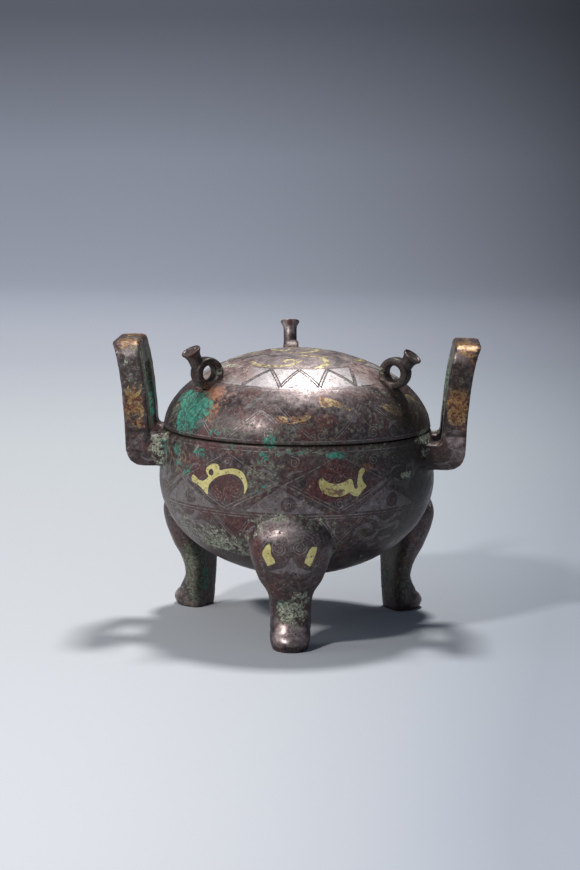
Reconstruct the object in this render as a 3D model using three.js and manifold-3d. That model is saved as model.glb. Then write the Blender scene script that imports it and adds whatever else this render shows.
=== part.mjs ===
// A lidded bronze ding: a round-bellied cooking vessel on three hoofed legs, with two upright ears,
// and a domed lid that carries three ring knobs with flat-topped posts.
// Units are millimetres and +Z is up. The ears stand on the X axis and one leg faces -Y.
import * as THREE from "three";
import { mergeVertices } from "three/addons/utils/BufferGeometryUtils.js";
import Module from "manifold-3d";

// Bowl
const bellyRadius = 65.1; // outside, at the widest level
const bellyDepth = 46.3; // from the widest level down to the underside
const shoulderHeight = 23.5; // from the widest level up to the seam under the lid
const rimRadius = 63.3; // outside, at the seam
const underClearance = 23.7; // from the floor up to the underside of the belly
const bowlWall = 3;

// Mouth: a flange turns in under the seam and carries a low lip that the lid fits over
const flangeThickness = 3;
const lipSetback = 3.6; // from the rim's outside to the lip's outside
const lipHeight = 3.6;
const lipWall = 1.8;

// Lid
const lidSeamGap = 0.3; // between the lid's edge and the flange it rests on
const lidLipClearance = 0.4;
const lidHeight = 37;
const lidWall = 2.4;
const lidFullness = 1.88; // exponent of the dome's profile: 1 is a cone, 2 is an ellipse
const lidTurn = 6.2; // degrees, as the lid was last put back on
const edgeRounding = 0.5;

// Legs
const legCount = 3;
const soleReach = 4.1; // from the belly's widest radius out to the toe
const soleDepth = 17.6; // from the toe in to the flat back of the leg
const soleHalfWidth = 9.1;
const ankleReach = -3.4; // the ankle lies inside the belly's radius
const ankleHeight = 17.5;
const thighReach = 7.2;
const thighHeight = 47.5;
const thighHalfWidth = 18.9;
const legTopBelowSeam = 30;
const legBackLean = 2; // how far the flat back leans in from the sole to the leg's top

// Ears
const earWidth = 45.8;
const earStrap = 12.3; // width of each upright and of the top bar
const earThickness = 11.2;
const earRise = 42.1; // from the seam up to the ear's top
const earGap = 2.8; // from the bowl's greatest radius out to the ear's inner face, at the seam
const earFlare = 5.6; // how far the top stands out past the foot of the ear
const earTurnDown = 16.4; // from the seam down to the underside of the bend
const earCornerRadius = 9.5;
const earInnerRadius = 2.4;
const earTopEdgeRadius = 2.6;
const earArchRadius = 12;
const earBracketRoot = 1.5; // how deep the bracket's outer corners run into the bowl's wall
const earLean = 1.2; // degrees outward
const earBracketDrop = { right: 4.4, left: 1.9 }; // from the seam down to each bracket's top

// Knobs
const knobRadius = 50.2; // from the axis to the centre of the ring
const knobRingRadius = 7.3;
const knobHoleRadius = 3.6;
const knobWidth = 7.2;
const knobStandoff = 7.1; // the ring's centre above the dome
const knobEdge = 1.3; // how far the ring's edges are taken off
const postNeckRadius = 3.2;
const postTopRadius = 4.6;
const postDish = 0.5;
const postAngle = 34; // where the post stands on the ring, in degrees above level
const posts = {
  back: { lean: 20, length: 13.6 }, // degrees outward, and millimetres from the ring to the disc
  left: { lean: 29, length: 8.8 },
  right: { lean: 38, length: 7 },
};

// Fineness
const roundSides = 52;
const legSides = 20;
const legSteps = 15;

// Levels and radii that follow
const widestLevel = underClearance + bellyDepth;
const seamLevel = widestLevel + shoulderHeight;
const lipOuter = rimRadius - lipSetback;
const lipInner = lipOuter - lipWall;
const lidRadius = rimRadius - 0.2;
const greatestRadius = Math.max(bellyRadius, rimRadius);
const lidEdge = seamLevel + lidSeamGap;
const lidApex = lidEdge + lidHeight;

const wasm = await Module();
wasm.setup();

/** The same surface with each corner stored once. */
function weld(geometry) {
  const bare = geometry.index ? geometry.toNonIndexed() : geometry.clone();
  bare.deleteAttribute("normal");
  bare.deleteAttribute("uv");
  return mergeVertices(bare, 1e-4);
}

/** Turns a closed three.js geometry into a solid for joining and cutting. */
function solidFrom(geometry) {
  const merged = weld(geometry);
  const mesh = new wasm.Mesh({
    numProp: 3,
    vertProperties: new Float32Array(merged.attributes.position.array),
    triVerts: new Uint32Array(merged.index.array),
  });
  return new wasm.Manifold(mesh);
}

/** Turns a solid back into a three.js geometry. */
function geometryFrom(solid) {
  const mesh = solid.getMesh();
  const geometry = new THREE.BufferGeometry();
  geometry.setAttribute("position", new THREE.BufferAttribute(mesh.vertProperties, 3));
  geometry.setIndex(new THREE.BufferAttribute(mesh.triVerts, 1));
  geometry.computeVertexNormals();
  return geometry;
}

/** A solid of revolution about Z from [radius, level] pairs that start and end on the axis. */
function revolved(profile) {
  const points = profile.map(([radius, level]) => new THREE.Vector2(radius, level));
  const geometry = new THREE.LatheGeometry(points, roundSides);
  return solidFrom(geometry.rotateX(Math.PI / 2));
}

/** Pairs along part of an ellipse about (0, level), from one angle to another. */
function ellipsePairs(radius, height, level, from, to, steps) {
  const pairs = [];
  for (let i = 0; i <= steps; i++) {
    const angle = from + ((to - from) * i) / steps;
    pairs.push([radius * Math.cos(angle), level + height * Math.sin(angle)]);
  }
  return pairs;
}

/** The belly's outside radius at a level, with a wall's thickness taken off. */
function bellyRadiusAt(level, inset = 0) {
  const below = (widestLevel - level) / (bellyDepth - inset);
  return (bellyRadius - inset) * Math.sqrt(Math.max(0, 1 - below * below));
}

/** The shoulder's pairs, from the widest level up to a given one, with a wall's thickness taken off. */
function shoulderPairs(topLevel, inset, steps) {
  const pairs = [];
  for (let i = 1; i <= steps; i++) {
    const share = i / steps;
    const level = widestLevel + (topLevel - widestLevel) * share;
    const rise = (level - widestLevel) / shoulderHeight;
    pairs.push([bellyRadius - inset - (bellyRadius - rimRadius) * rise ** 1.6, level]);
  }
  return pairs;
}

function bowlOutside() {
  const quarter = Math.PI / 2;
  const lower = ellipsePairs(bellyRadius, bellyDepth, widestLevel, -quarter, 0, 10);
  lower[0][0] = 0;
  return revolved([
    ...lower,
    ...shoulderPairs(seamLevel - edgeRounding, 0, 4),
    [rimRadius - edgeRounding, seamLevel],
    [lipOuter, seamLevel],
    [lipOuter, seamLevel + lipHeight - edgeRounding],
    [lipOuter - edgeRounding, seamLevel + lipHeight],
    [0, seamLevel + lipHeight],
  ]);
}

function bowlCavity() {
  const quarter = Math.PI / 2;
  const flangeUnder = seamLevel - flangeThickness;
  const lower = ellipsePairs(bellyRadius - bowlWall, bellyDepth - bowlWall, widestLevel, -quarter, 0, 8);
  lower[0][0] = 0;
  return revolved([
    ...lower,
    ...shoulderPairs(flangeUnder, bowlWall, 3),
    [lipInner, flangeUnder],
    [lipInner, seamLevel + lipHeight * 2],
    [0, seamLevel + lipHeight * 2],
  ]);
}

/** Smooth interpolation through [level, value] pairs in rising order. */
function stationCurve(stations) {
  const tangent = stations.map((_, i) => {
    const before = stations[Math.max(0, i - 1)];
    const after = stations[Math.min(stations.length - 1, i + 1)];
    return (after[1] - before[1]) / (after[0] - before[0]);
  });
  return (level) => {
    let i = stations.findIndex((station) => station[0] >= level);
    i = i < 0 ? stations.length - 1 : Math.max(1, i);
    const [x0, y0] = stations[i - 1];
    const [x1, y1] = stations[i];
    const span = x1 - x0;
    const t = Math.min(1, Math.max(0, (level - x0) / span));
    const hold = 1 - t;
    return (
      y0 * (1 + 2 * t) * hold * hold +
      tangent[i - 1] * span * t * hold * hold +
      y1 * (3 - 2 * t) * t * t -
      tangent[i] * span * t * t * hold
    );
  };
}

/** One leg along +X: flat behind and round in front, with a hoof, a slim ankle and a full thigh. */
function leg() {
  const top = seamLevel - legTopBelowSeam;
  const toe = bellyRadius + soleReach;
  const ankle = bellyRadius + ankleReach;
  const thigh = bellyRadius + thighReach;
  const back = toe - soleDepth;
  const hoof = ankleHeight * 0.25;
  const calf = ankleHeight + (thighHeight - ankleHeight) * 0.5;
  const brow = thighHeight + (top - thighHeight) * 0.55;
  const front = stationCurve([
    [0, toe - 1.4],
    [hoof, toe],
    [ankleHeight * 0.62, ankle + (toe - ankle) * 0.36],
    [ankleHeight, ankle],
    [calf, ankle + (thigh - ankle) * 0.56],
    [thighHeight, thigh],
    [brow, thigh - thighReach * 0.24],
    [top, bellyRadiusAt(top) - 1],
  ]);
  const halfWidth = stationCurve([
    [0, soleHalfWidth - 1],
    [hoof, soleHalfWidth],
    [ankleHeight, soleHalfWidth + 0.3],
    [calf * 0.78, soleHalfWidth + 1.3],
    [calf, soleHalfWidth + (thighHalfWidth - soleHalfWidth) * 0.56],
    [thighHeight, thighHalfWidth],
    [brow, thighHalfWidth * 0.82],
    [top, thighHalfWidth * 0.34],
  ]);
  const geometry = weld(new THREE.CylinderGeometry(1, 1, 1, legSides, legSteps));
  const position = geometry.attributes.position;
  const squareness = 0.42; // below 1 the back's corners are squarer than an ellipse's
  for (let i = 0; i < position.count; i++) {
    const share = position.getY(i) + 0.5;
    const level = top * share;
    const angle = Math.atan2(position.getZ(i), position.getX(i));
    const spread = Math.hypot(position.getX(i), position.getZ(i));
    const behind = back - legBackLean * share;
    const middle = behind + (front(level) - behind) * 0.38;
    const isFront = Math.cos(angle) >= 0;
    const shape = (value) => (isFront ? value : Math.sign(value) * Math.abs(value) ** squareness);
    const reach = isFront ? front(level) - middle : middle - behind;
    const out = middle + spread * reach * shape(Math.cos(angle));
    const across = spread * halfWidth(level) * shape(Math.sin(angle));
    position.setXYZ(i, out, -across, level);
  }
  return solidFrom(geometry);
}

/** The ear's side profile, as a closed shape of X and Z, from the bowl's wall out, round and up. */
function earProfile(bracketDrop) {
  const inner = greatestRadius + earGap;
  const outer = inner + earThickness;
  const top = seamLevel + earRise;
  const under = seamLevel - earTurnDown;
  const bracketTop = seamLevel - bracketDrop;
  const root = Math.sqrt(rimRadius ** 2 - (earWidth / 2) ** 2) - earBracketRoot;
  const lowBend = top - earRise * 0.42;
  const flareHeight = top - earRise * 0.13;
  const edge = earTopEdgeRadius;
  const innerTop = inner + earFlare - edge * 0.5;
  const outerTop = outer + earFlare;
  const shape = new THREE.Shape();
  shape.moveTo(root, under);
  shape.lineTo(outer - earCornerRadius, under);
  shape.quadraticCurveTo(outer, under, outer, under + earCornerRadius);
  shape.quadraticCurveTo(outer + earFlare * 0.1, lowBend, outer + earFlare * 0.7, flareHeight);
  shape.lineTo(outerTop, top - edge);
  shape.quadraticCurveTo(outerTop, top, outerTop - edge, top);
  shape.lineTo(innerTop + edge, top);
  shape.quadraticCurveTo(innerTop, top, innerTop, top - edge);
  shape.lineTo(inner + earFlare * 0.7, flareHeight);
  shape.quadraticCurveTo(inner + earFlare * 0.2, lowBend, inner, bracketTop + earInnerRadius);
  shape.quadraticCurveTo(inner, bracketTop, inner - earInnerRadius, bracketTop);
  shape.lineTo(root, bracketTop);
  shape.closePath();
  return shape;
}

/** The ear's face, as a closed shape of Y and Z: an arch with a slot that is open below. */
function earFace() {
  const half = earWidth / 2;
  const slot = half - earStrap;
  const top = seamLevel + earRise;
  const bottom = seamLevel - earTurnDown - 1;
  const slotTop = top - earStrap;
  const slotRounding = earArchRadius * 0.25;
  const arch = earArchRadius;
  const shape = new THREE.Shape();
  shape.moveTo(-half, bottom);
  shape.lineTo(-slot, bottom);
  shape.lineTo(-slot, slotTop - slotRounding);
  shape.quadraticCurveTo(-slot, slotTop, -slot + slotRounding, slotTop);
  shape.lineTo(slot - slotRounding, slotTop);
  shape.quadraticCurveTo(slot, slotTop, slot, slotTop - slotRounding);
  shape.lineTo(slot, bottom);
  shape.lineTo(half, bottom);
  shape.lineTo(half, top - arch);
  shape.absarc(half - arch, top - arch, arch, 0, Math.PI / 2, false);
  shape.lineTo(-half + arch, top);
  shape.absarc(-half + arch, top - arch, arch, Math.PI / 2, Math.PI, false);
  shape.closePath();
  return shape;
}

/** One ear on the +X side: the side profile run across, kept only within the face's arch. */
function ear(bracketDrop) {
  const curveSegments = 4;
  const across = new THREE.ExtrudeGeometry(earProfile(bracketDrop), {
    depth: earWidth,
    bevelEnabled: false,
    curveSegments,
  });
  across.rotateX(Math.PI / 2).translate(0, earWidth / 2, 0);
  const reach = greatestRadius + earGap + earThickness + earFlare + 1;
  const through = new THREE.ExtrudeGeometry(earFace(), {
    depth: reach,
    bevelEnabled: false,
    curveSegments,
  });
  through.rotateX(Math.PI / 2).rotateZ(Math.PI / 2);
  const hinge = [rimRadius, 0, seamLevel - earTurnDown / 2];
  return solidFrom(across)
    .intersect(solidFrom(through))
    .translate(hinge.map((value) => -value))
    .rotate([0, earLean, 0])
    .translate(hinge);
}

/** Radius of the dome's profile at a height above the lid's edge, for a given size. */
function domePairs(radius, height, from, steps) {
  const pairs = [];
  for (let i = 0; i <= steps; i++) {
    const angle = from + ((Math.PI / 2 - from) * i) / steps;
    pairs.push([
      radius * Math.max(0, Math.cos(angle)) ** (2 / lidFullness),
      lidEdge + height * Math.sin(angle) ** (2 / lidFullness),
    ]);
  }
  pairs[steps][0] = 0;
  return pairs;
}

/** The dome's outside level at a radius. */
function domeLevelAt(radius) {
  return lidEdge + lidHeight * (1 - (radius / lidRadius) ** lidFullness) ** (1 / lidFullness);
}

function dome() {
  const socket = lipOuter + lidLipClearance;
  const socketTop = lidEdge + lipHeight + lidLipClearance;
  const insideHeight = lidHeight - lidWall;
  const insideRadius = lidRadius - lidWall;
  const fromAngle = Math.asin(((socketTop - lidEdge) / insideHeight) ** (lidFullness / 2));
  const outside = revolved([
    [0, lidEdge],
    [lidRadius - edgeRounding, lidEdge],
    [lidRadius, lidEdge + edgeRounding],
    ...domePairs(lidRadius, lidHeight, 0.16, 10),
  ]);
  const inside = revolved([
    [0, lidEdge - 1],
    [socket, lidEdge - 1],
    [socket, socketTop],
    ...domePairs(insideRadius, insideHeight, fromAngle, 7),
  ]);
  return { outside, inside };
}

/** One knob along +X: a ring that stands on the dome, with a flared post on its outer shoulder. */
function knob({ lean, length }) {
  const ringLevel = domeLevelAt(knobRadius) + knobStandoff;
  const ring = new THREE.Shape();
  ring.absarc(0, 0, knobRingRadius, 0, 2 * Math.PI, false);
  const hole = new THREE.Path();
  hole.absarc(0, 0, knobHoleRadius, 0, 2 * Math.PI, true);
  ring.holes.push(hole);
  const band = new THREE.ExtrudeGeometry(ring, {
    depth: knobWidth - 2 * knobEdge,
    bevelThickness: knobEdge,
    bevelSize: knobEdge * 0.8,
    bevelOffset: -knobEdge * 0.8,
    bevelSegments: 1,
    curveSegments: 8,
  });
  band.rotateX(Math.PI / 2).translate(knobRadius, knobWidth / 2 - knobEdge, ringLevel);
  const middleOfBand = (knobRingRadius + knobHoleRadius) / 2;
  const angle = THREE.MathUtils.degToRad(postAngle);
  const foot = [knobRadius + middleOfBand * Math.cos(angle), ringLevel + middleOfBand * Math.sin(angle)];
  const standing = post(length).rotateY(THREE.MathUtils.degToRad(lean)).translate(foot[0], 0, foot[1]);
  return solidFrom(band).add(solidFrom(standing));
}

/** The knob's post, upright from the origin: a neck that flares to a shallow dish. */
function post(length) {
  const points = [
    [0, -1],
    [postNeckRadius, -1],
    [postNeckRadius, length - 4],
    [postNeckRadius + 0.4, length - 2.4],
    [postTopRadius, length - 0.9],
    [postTopRadius, length],
    [postTopRadius - 0.8, length],
    [postTopRadius - 1.3, length - postDish],
    [0, length - postDish],
  ].map(([radius, level]) => new THREE.Vector2(radius, level));
  return new THREE.LatheGeometry(points, 14).rotateX(Math.PI / 2);
}

function vesselSolid() {
  let body = bowlOutside();
  for (let i = 0; i < legCount; i++) body = body.add(leg().rotate([0, 0, -90 + (360 / legCount) * i]));
  body = body.add(ear(earBracketDrop.right)).add(ear(earBracketDrop.left).rotate([0, 0, 180]));
  return body.subtract(bowlCavity());
}

function lidSolid() {
  const { outside, inside } = dome();
  let body = outside;
  [posts.back, posts.left, posts.right].forEach((own, i) => {
    body = body.add(knob(own).rotate([0, 0, 90 + lidTurn + 120 * i]));
  });
  return body.subtract(inside);
}

/** A named mesh in dark patinated bronze. */
function bronzeMesh(name, solid) {
  const material = new THREE.MeshStandardMaterial({ color: 0x4a3d3b, roughness: 0.42, metalness: 0.8 });
  const mesh = new THREE.Mesh(geometryFrom(solid), material);
  mesh.name = name;
  return mesh;
}

const vessel = bronzeMesh("vessel", vesselSolid());
const lid = bronzeMesh("lid", lidSolid());

// The origin is the middle of the footprint box, at the level of the soles.
const ding = new THREE.Group();
ding.add(vessel, lid);
const extent = new THREE.Box3().setFromObject(ding, true);
const middle = extent.getCenter(new THREE.Vector3());
ding.position.set(-middle.x, -middle.y, -extent.min.z);

export default new THREE.Group().add(ding);
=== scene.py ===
"""A lidded bronze ding with gold and silver inlay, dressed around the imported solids."""
import math

import bmesh
import bpy
import numpy as np
from mathutils import Matrix, Vector, noise
from mathutils.bvhtree import BVHTree
from mathutils.geometry import delaunay_2d_cdt


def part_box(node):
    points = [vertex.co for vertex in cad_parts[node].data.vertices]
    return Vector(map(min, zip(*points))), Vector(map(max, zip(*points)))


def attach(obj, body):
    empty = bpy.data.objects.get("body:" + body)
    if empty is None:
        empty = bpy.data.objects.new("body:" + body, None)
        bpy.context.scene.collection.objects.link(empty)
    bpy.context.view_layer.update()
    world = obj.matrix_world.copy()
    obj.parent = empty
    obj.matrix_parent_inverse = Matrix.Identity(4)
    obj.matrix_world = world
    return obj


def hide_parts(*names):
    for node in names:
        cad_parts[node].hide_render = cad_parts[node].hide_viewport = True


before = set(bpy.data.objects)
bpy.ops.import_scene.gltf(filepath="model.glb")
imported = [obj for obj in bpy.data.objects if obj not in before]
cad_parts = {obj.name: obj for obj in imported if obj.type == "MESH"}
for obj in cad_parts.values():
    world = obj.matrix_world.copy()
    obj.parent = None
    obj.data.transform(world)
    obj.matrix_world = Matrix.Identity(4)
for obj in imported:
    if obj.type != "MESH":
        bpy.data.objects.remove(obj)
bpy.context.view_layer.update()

MM = 0.001

# The frame's sizes in millimetres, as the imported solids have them
BELLY_R, BELLY_DEPTH, SHOULDER, RIM_R, UNDER, WALL = 65.1, 46.3, 23.5, 63.3, 23.7, 3.0
FLANGE, LIP_SETBACK, LIP_HEIGHT, LIP_WALL = 3.0, 3.6, 3.6, 1.8
SEAM_GAP, LID_HEIGHT, LID_WALL, FULLNESS, LID_TURN = 0.3, 37.0, 2.4, 1.88, 6.2
WIDEST = UNDER + BELLY_DEPTH
SEAM = WIDEST + SHOULDER
LIP_OUT = RIM_R - LIP_SETBACK
LIP_IN = LIP_OUT - LIP_WALL
LID_R = RIM_R - 0.2
LID_EDGE = SEAM + SEAM_GAP
SOCKET_R, SOCKET_TOP = LIP_OUT + 0.4, LID_EDGE + LIP_HEIGHT + 0.4
EDGE = 0.85
# Edges bent by more degrees than this are drawn sharp
SHARP_BODY, SHARP_INLAY = 38, 50
AXIS = np.array([0.0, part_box("vessel")[1].y / MM - BELLY_R, 0.0])
LEG_ANGLES = (-90, 30, 150)
KNOB_ANGLES = (90 + LID_TURN, 210 + LID_TURN, 330 + LID_TURN)


# Mesh tools

def new_object(name, verts, faces):
    """An object from points in millimetres."""
    mesh = bpy.data.meshes.new(name)
    mesh.from_pydata((np.asarray(verts, float) * MM).tolist(), [], [list(map(int, f)) for f in faces])
    mesh.update()
    obj = bpy.data.objects.new(name, mesh)
    bpy.context.scene.collection.objects.link(obj)
    return obj


def points_of(mesh):
    co = np.zeros(len(mesh.vertices) * 3)
    mesh.vertices.foreach_get("co", co)
    return co.reshape(-1, 3) / MM


def set_points(mesh, points):
    mesh.vertices.foreach_set("co", (np.asarray(points) * MM).ravel())
    mesh.update()


def normals_of(mesh):
    no = np.zeros(len(mesh.vertices) * 3)
    mesh.vertex_normals.foreach_get("vector", no)
    return no.reshape(-1, 3)


def tree_of(obj):
    """A search tree in metres of the object's present mesh."""
    mesh = obj.data
    return BVHTree.FromPolygons([v.co for v in mesh.vertices], [p.vertices for p in mesh.polygons])


def with_modifiers(obj):
    """Applies the object's modifiers."""
    graph = bpy.context.evaluated_depsgraph_get()
    mesh = bpy.data.meshes.new_from_object(obj.evaluated_get(graph))
    obj.modifiers.clear()
    obj.data = mesh
    return obj


def join_solids(target, others, operation="UNION"):
    for other in others:
        step = target.modifiers.new("solid", "BOOLEAN")
        step.operation = operation
        step.solver = "MANIFOLD"
        step.object = other
        with_modifiers(target)
    return target


def remove(*objects):
    for obj in objects:
        bpy.data.objects.remove(obj)


def lathe(profile, sides):
    """A closed surface of revolution about Z; the profile starts and ends on the axis."""
    profile = np.array(profile, float)
    angle = np.arange(sides) * 2 * math.pi / sides
    ring = np.stack([np.cos(angle), np.sin(angle)], 1)
    verts, rows = [], []
    for radius, level in profile:
        start = len(verts)
        if radius < 1e-6:
            verts.append((0, 0, level))
            rows.append([start] * sides)
        else:
            verts.extend((radius * c, radius * s, level) for c, s in ring)
            rows.append(list(range(start, start + sides)))
    faces = []
    for low, high in zip(rows, rows[1:]):
        for i in range(sides):
            j = (i + 1) % sides
            corners = [low[i], low[j], high[j], high[i]]
            kept = [c for n, c in enumerate(corners) if c not in corners[:n]]
            if len(kept) > 2:
                faces.append(kept)
    return np.array(verts), faces


def prism(outline, depth_axis, start, end):
    """A closed prism of a plane outline (a, b).

    Its points are (a, depth, b) where depth_axis is 1, and (depth, a, b) where it is 0.
    """
    outline = np.array(outline, float)
    count = len(outline)
    verts = []
    for depth in (start, end):
        for a, b in outline:
            verts.append((a, depth, b) if depth_axis == 1 else (depth, a, b))
    faces = [[i, (i + 1) % count, count + (i + 1) % count, count + i] for i in range(count)]
    faces += [list(range(count))[::-1], list(range(count, 2 * count))]
    return np.array(verts), faces


def face_outward(obj):
    bm = bmesh.new()
    bm.from_mesh(obj.data)
    bmesh.ops.recalc_face_normals(bm, faces=bm.faces)
    bm.to_mesh(obj.data)
    bm.free()
    return obj


def turned(points, degrees, about=(0.0, 0.0)):
    """Points turned about a vertical line."""
    angle = math.radians(degrees)
    points = np.array(points, float)
    x, y = points[:, 0] - about[0], points[:, 1] - about[1]
    points[:, 0] = about[0] + x * math.cos(angle) - y * math.sin(angle)
    points[:, 1] = about[1] + x * math.sin(angle) + y * math.cos(angle)
    return points


def neighbour_average(mesh, points, rounds, weight):
    """Relaxes points towards their neighbours' average, by a weight for each point."""
    edges = np.zeros(len(mesh.edges) * 2, int)
    mesh.edges.foreach_get("vertices", edges)
    edges = edges.reshape(-1, 2)
    count = np.bincount(edges.ravel(), minlength=len(points)).astype(float)
    count[count == 0] = 1
    for _ in range(rounds):
        total = np.zeros_like(points)
        np.add.at(total, edges[:, 0], points[edges[:, 1]])
        np.add.at(total, edges[:, 1], points[edges[:, 0]])
        points = points + (total / count[:, None] - points) * (0.5 * weight)[:, None]
    return points


def distances(tree, points, limit):
    found = np.full(len(points), float(limit))
    for i, p in enumerate(points * MM):
        hit = tree.find_nearest(p, limit * MM)
        if hit[0] is not None:
            found[i] = hit[3] / MM
    return found


def fbm(points, size, octaves=4, seed=0.0):
    """Fractal noise from about -1 to 1 with features of a size in millimetres."""
    shifted = points / size + np.array([seed, seed * 0.7, -seed * 1.3])
    return np.array([noise.fractal(p, 0.8, 2.1, octaves) for p in shifted.tolist()])


def smooth_step(value):
    value = np.clip(value, 0, 1)
    return value * value * (3 - 2 * value)


def blend_joins(obj, parts, reach):
    """Rounds the inside corners where parts meet, as a casting has them."""
    mesh = obj.data
    points = points_of(mesh)
    normals = normals_of(mesh)
    near = np.stack([distances(tree, points, reach + 1) for tree in parts])
    near.sort(axis=0)
    gap = near[1]
    lift = np.where(gap < reach, reach / 4 * (1 - gap / reach) ** 2, 0)
    points = points + normals * lift[:, None]
    soft = smooth_step((reach * 0.8 - gap) / (reach * 0.5))
    points = neighbour_average(mesh, points, 6, soft)
    set_points(mesh, points)
    return gap


# The vessel's solids

def belly_radius(level):
    below = (WIDEST - level) / BELLY_DEPTH
    return BELLY_R * np.sqrt(np.maximum(0, 1 - below * below))


def bowl_radius(level):
    """The bowl's outside radius at levels from the underside to the seam."""
    level = np.asarray(level, float)
    rise = np.clip((level - WIDEST) / SHOULDER, 0, 1)
    return np.where(level < WIDEST, belly_radius(level), BELLY_R - (BELLY_R - RIM_R) * rise ** 1.6)


def bowl_profile(inset, low_steps, high_steps, top):
    angle = np.linspace(-math.pi / 2, 0, low_steps)
    lower = [((BELLY_R - inset) * math.cos(a), WIDEST + (BELLY_DEPTH - inset) * math.sin(a)) for a in angle]
    lower[0] = (0, lower[0][1])
    levels = np.linspace(WIDEST, top, high_steps)[1:]
    return lower + [(float(bowl_radius(level)) - inset, level) for level in levels]


def bowl_outside():
    rounding = [
        (RIM_R - EDGE * (1 - math.cos(a)),
         SEAM - EDGE + EDGE * math.sin(a)) for a in np.linspace(0, math.pi / 2, 4)[1:]
    ]
    lip = [
        (LIP_OUT + 1.5, SEAM), (LIP_OUT, SEAM), (LIP_OUT, SEAM + LIP_HEIGHT - EDGE),
        (LIP_OUT - EDGE, SEAM + LIP_HEIGHT), (LIP_OUT - 6, SEAM + LIP_HEIGHT), (0, SEAM + LIP_HEIGHT),
    ]
    return new_object("vessel_body", *lathe(bowl_profile(0, 74, 19, SEAM - EDGE) + rounding + lip, 320))


def bowl_cavity():
    under = SEAM - FLANGE
    mouth = [(LIP_IN, under), (LIP_IN, SEAM + 2 * LIP_HEIGHT), (0, SEAM + 2 * LIP_HEIGHT)]
    return new_object("cavity", *lathe(bowl_profile(WALL, 26, 9, under) + mouth, 160))


def station_curve(stations):
    """Smooth interpolation through (level, value) pairs in rising order."""
    x, y = np.array(stations, float).T
    before, after = np.maximum(np.arange(len(x)) - 1, 0), np.minimum(np.arange(len(x)) + 1, len(x) - 1)
    slope = (y[after] - y[before]) / (x[after] - x[before])

    def curve(level):
        level = np.asarray(level, float)
        i = np.clip(np.searchsorted(x, level), 1, len(x) - 1)
        span = x[i] - x[i - 1]
        t = np.clip((level - x[i - 1]) / span, 0, 1)
        hold = 1 - t
        return (y[i - 1] * (1 + 2 * t) * hold**2 + slope[i - 1] * span * t * hold**2
                + y[i] * (3 - 2 * t) * t**2 - slope[i] * span * t**2 * hold)

    return curve


LEG_TOP = SEAM - 30
TOE, ANKLE, THIGH, ANKLE_Z, THIGH_Z = BELLY_R + 4.1, BELLY_R - 3.4, BELLY_R + 7.2, 17.5, 47.5
LEG_BACK, SOLE_HALF, THIGH_HALF = TOE - 17.6, 9.1, 18.9
CALF, BROW = ANKLE_Z + (THIGH_Z - ANKLE_Z) * 0.5, THIGH_Z + (LEG_TOP - THIGH_Z) * 0.55
leg_front = station_curve([
    (0, TOE - 1.4), (ANKLE_Z * 0.25, TOE), (ANKLE_Z * 0.62, ANKLE + (TOE - ANKLE) * 0.36), (ANKLE_Z, ANKLE),
    (CALF, ANKLE + (THIGH - ANKLE) * 0.56), (THIGH_Z, THIGH), (BROW, THIGH - 7.2 * 0.24),
    (LEG_TOP, float(belly_radius(LEG_TOP)) - 1),
])
leg_half = station_curve([
    (0, SOLE_HALF - 1), (ANKLE_Z * 0.25, SOLE_HALF), (ANKLE_Z, SOLE_HALF + 0.3), (CALF * 0.78,
                                                                                  SOLE_HALF + 1.3),
    (CALF, SOLE_HALF + (THIGH_HALF - SOLE_HALF) * 0.56), (THIGH_Z, THIGH_HALF), (BROW, THIGH_HALF * 0.82),
    (LEG_TOP, THIGH_HALF * 0.34),
])


def leg_section(level, angle, spread=1.0):
    """Points of one leg's outline along +X at a level."""
    behind = LEG_BACK - 2 * level / LEG_TOP
    front, half = float(leg_front(level)), float(leg_half(level))
    groove = 0.45 * math.exp(-(((level - 8.6) / 0.8) ** 2))
    middle = behind + (front - behind) * 0.38
    cos, sin = np.cos(angle), np.sin(angle)
    is_front = cos >= 0
    shape = lambda value: np.where(is_front, value, np.sign(value) * np.abs(value) ** 0.42)
    reach = np.where(is_front, front - middle - groove, middle - behind)
    out = middle + spread * reach * shape(cos)
    across = spread * (half - groove * 0.6) * shape(sin)
    return np.stack([out, across, np.full(len(out), level)], 1)


def even_angles(sides):
    """Angles that put the leg's outline points at even distances."""
    fine = np.linspace(-math.pi, math.pi, 4001)
    step = np.linalg.norm(np.diff(leg_section(30, fine), axis=0), axis=1)
    run = np.concatenate([[0], np.cumsum(step)])
    return np.interp(np.arange(sides) * run[-1] / sides, run, fine)


def leg(name, turn):
    sides = 76
    angle = even_angles(sides)
    levels = [0, 0, 0.2, 0.7] + list(np.linspace(1.5, LEG_TOP, 54))
    spreads = [0.5, 0.955, 0.985, 0.998] + [1.0] * 54
    rings = [leg_section(z, angle, s) for z, s in zip(levels, spreads)]
    verts = np.concatenate(rings + [[[rings[0][:, 0].mean(), 0, 0]], [[rings[-1][:, 0].mean(), 0, LEG_TOP]]])
    faces = []
    for k in range(len(rings) - 1):
        for i in range(sides):
            j = (i + 1) % sides
            faces.append([k * sides + i, k * sides + j, (k + 1) * sides + j, (k + 1) * sides + i])
    last = (len(rings) - 1) * sides
    for i in range(sides):
        j = (i + 1) % sides
        faces.append([j, i, len(verts) - 2])
        faces.append([last + i, last + j, len(verts) - 1])
    return face_outward(new_object(name, turned(verts, turn), faces))


def quadratic(start, control, end, steps=9):
    t = np.linspace(0, 1, steps + 1)[1:, None]
    start, control, end = np.array(start), np.array(control), np.array(end)
    return ((1 - t) ** 2 * start + 2 * t * (1 - t) * control + t**2 * end).tolist()


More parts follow.
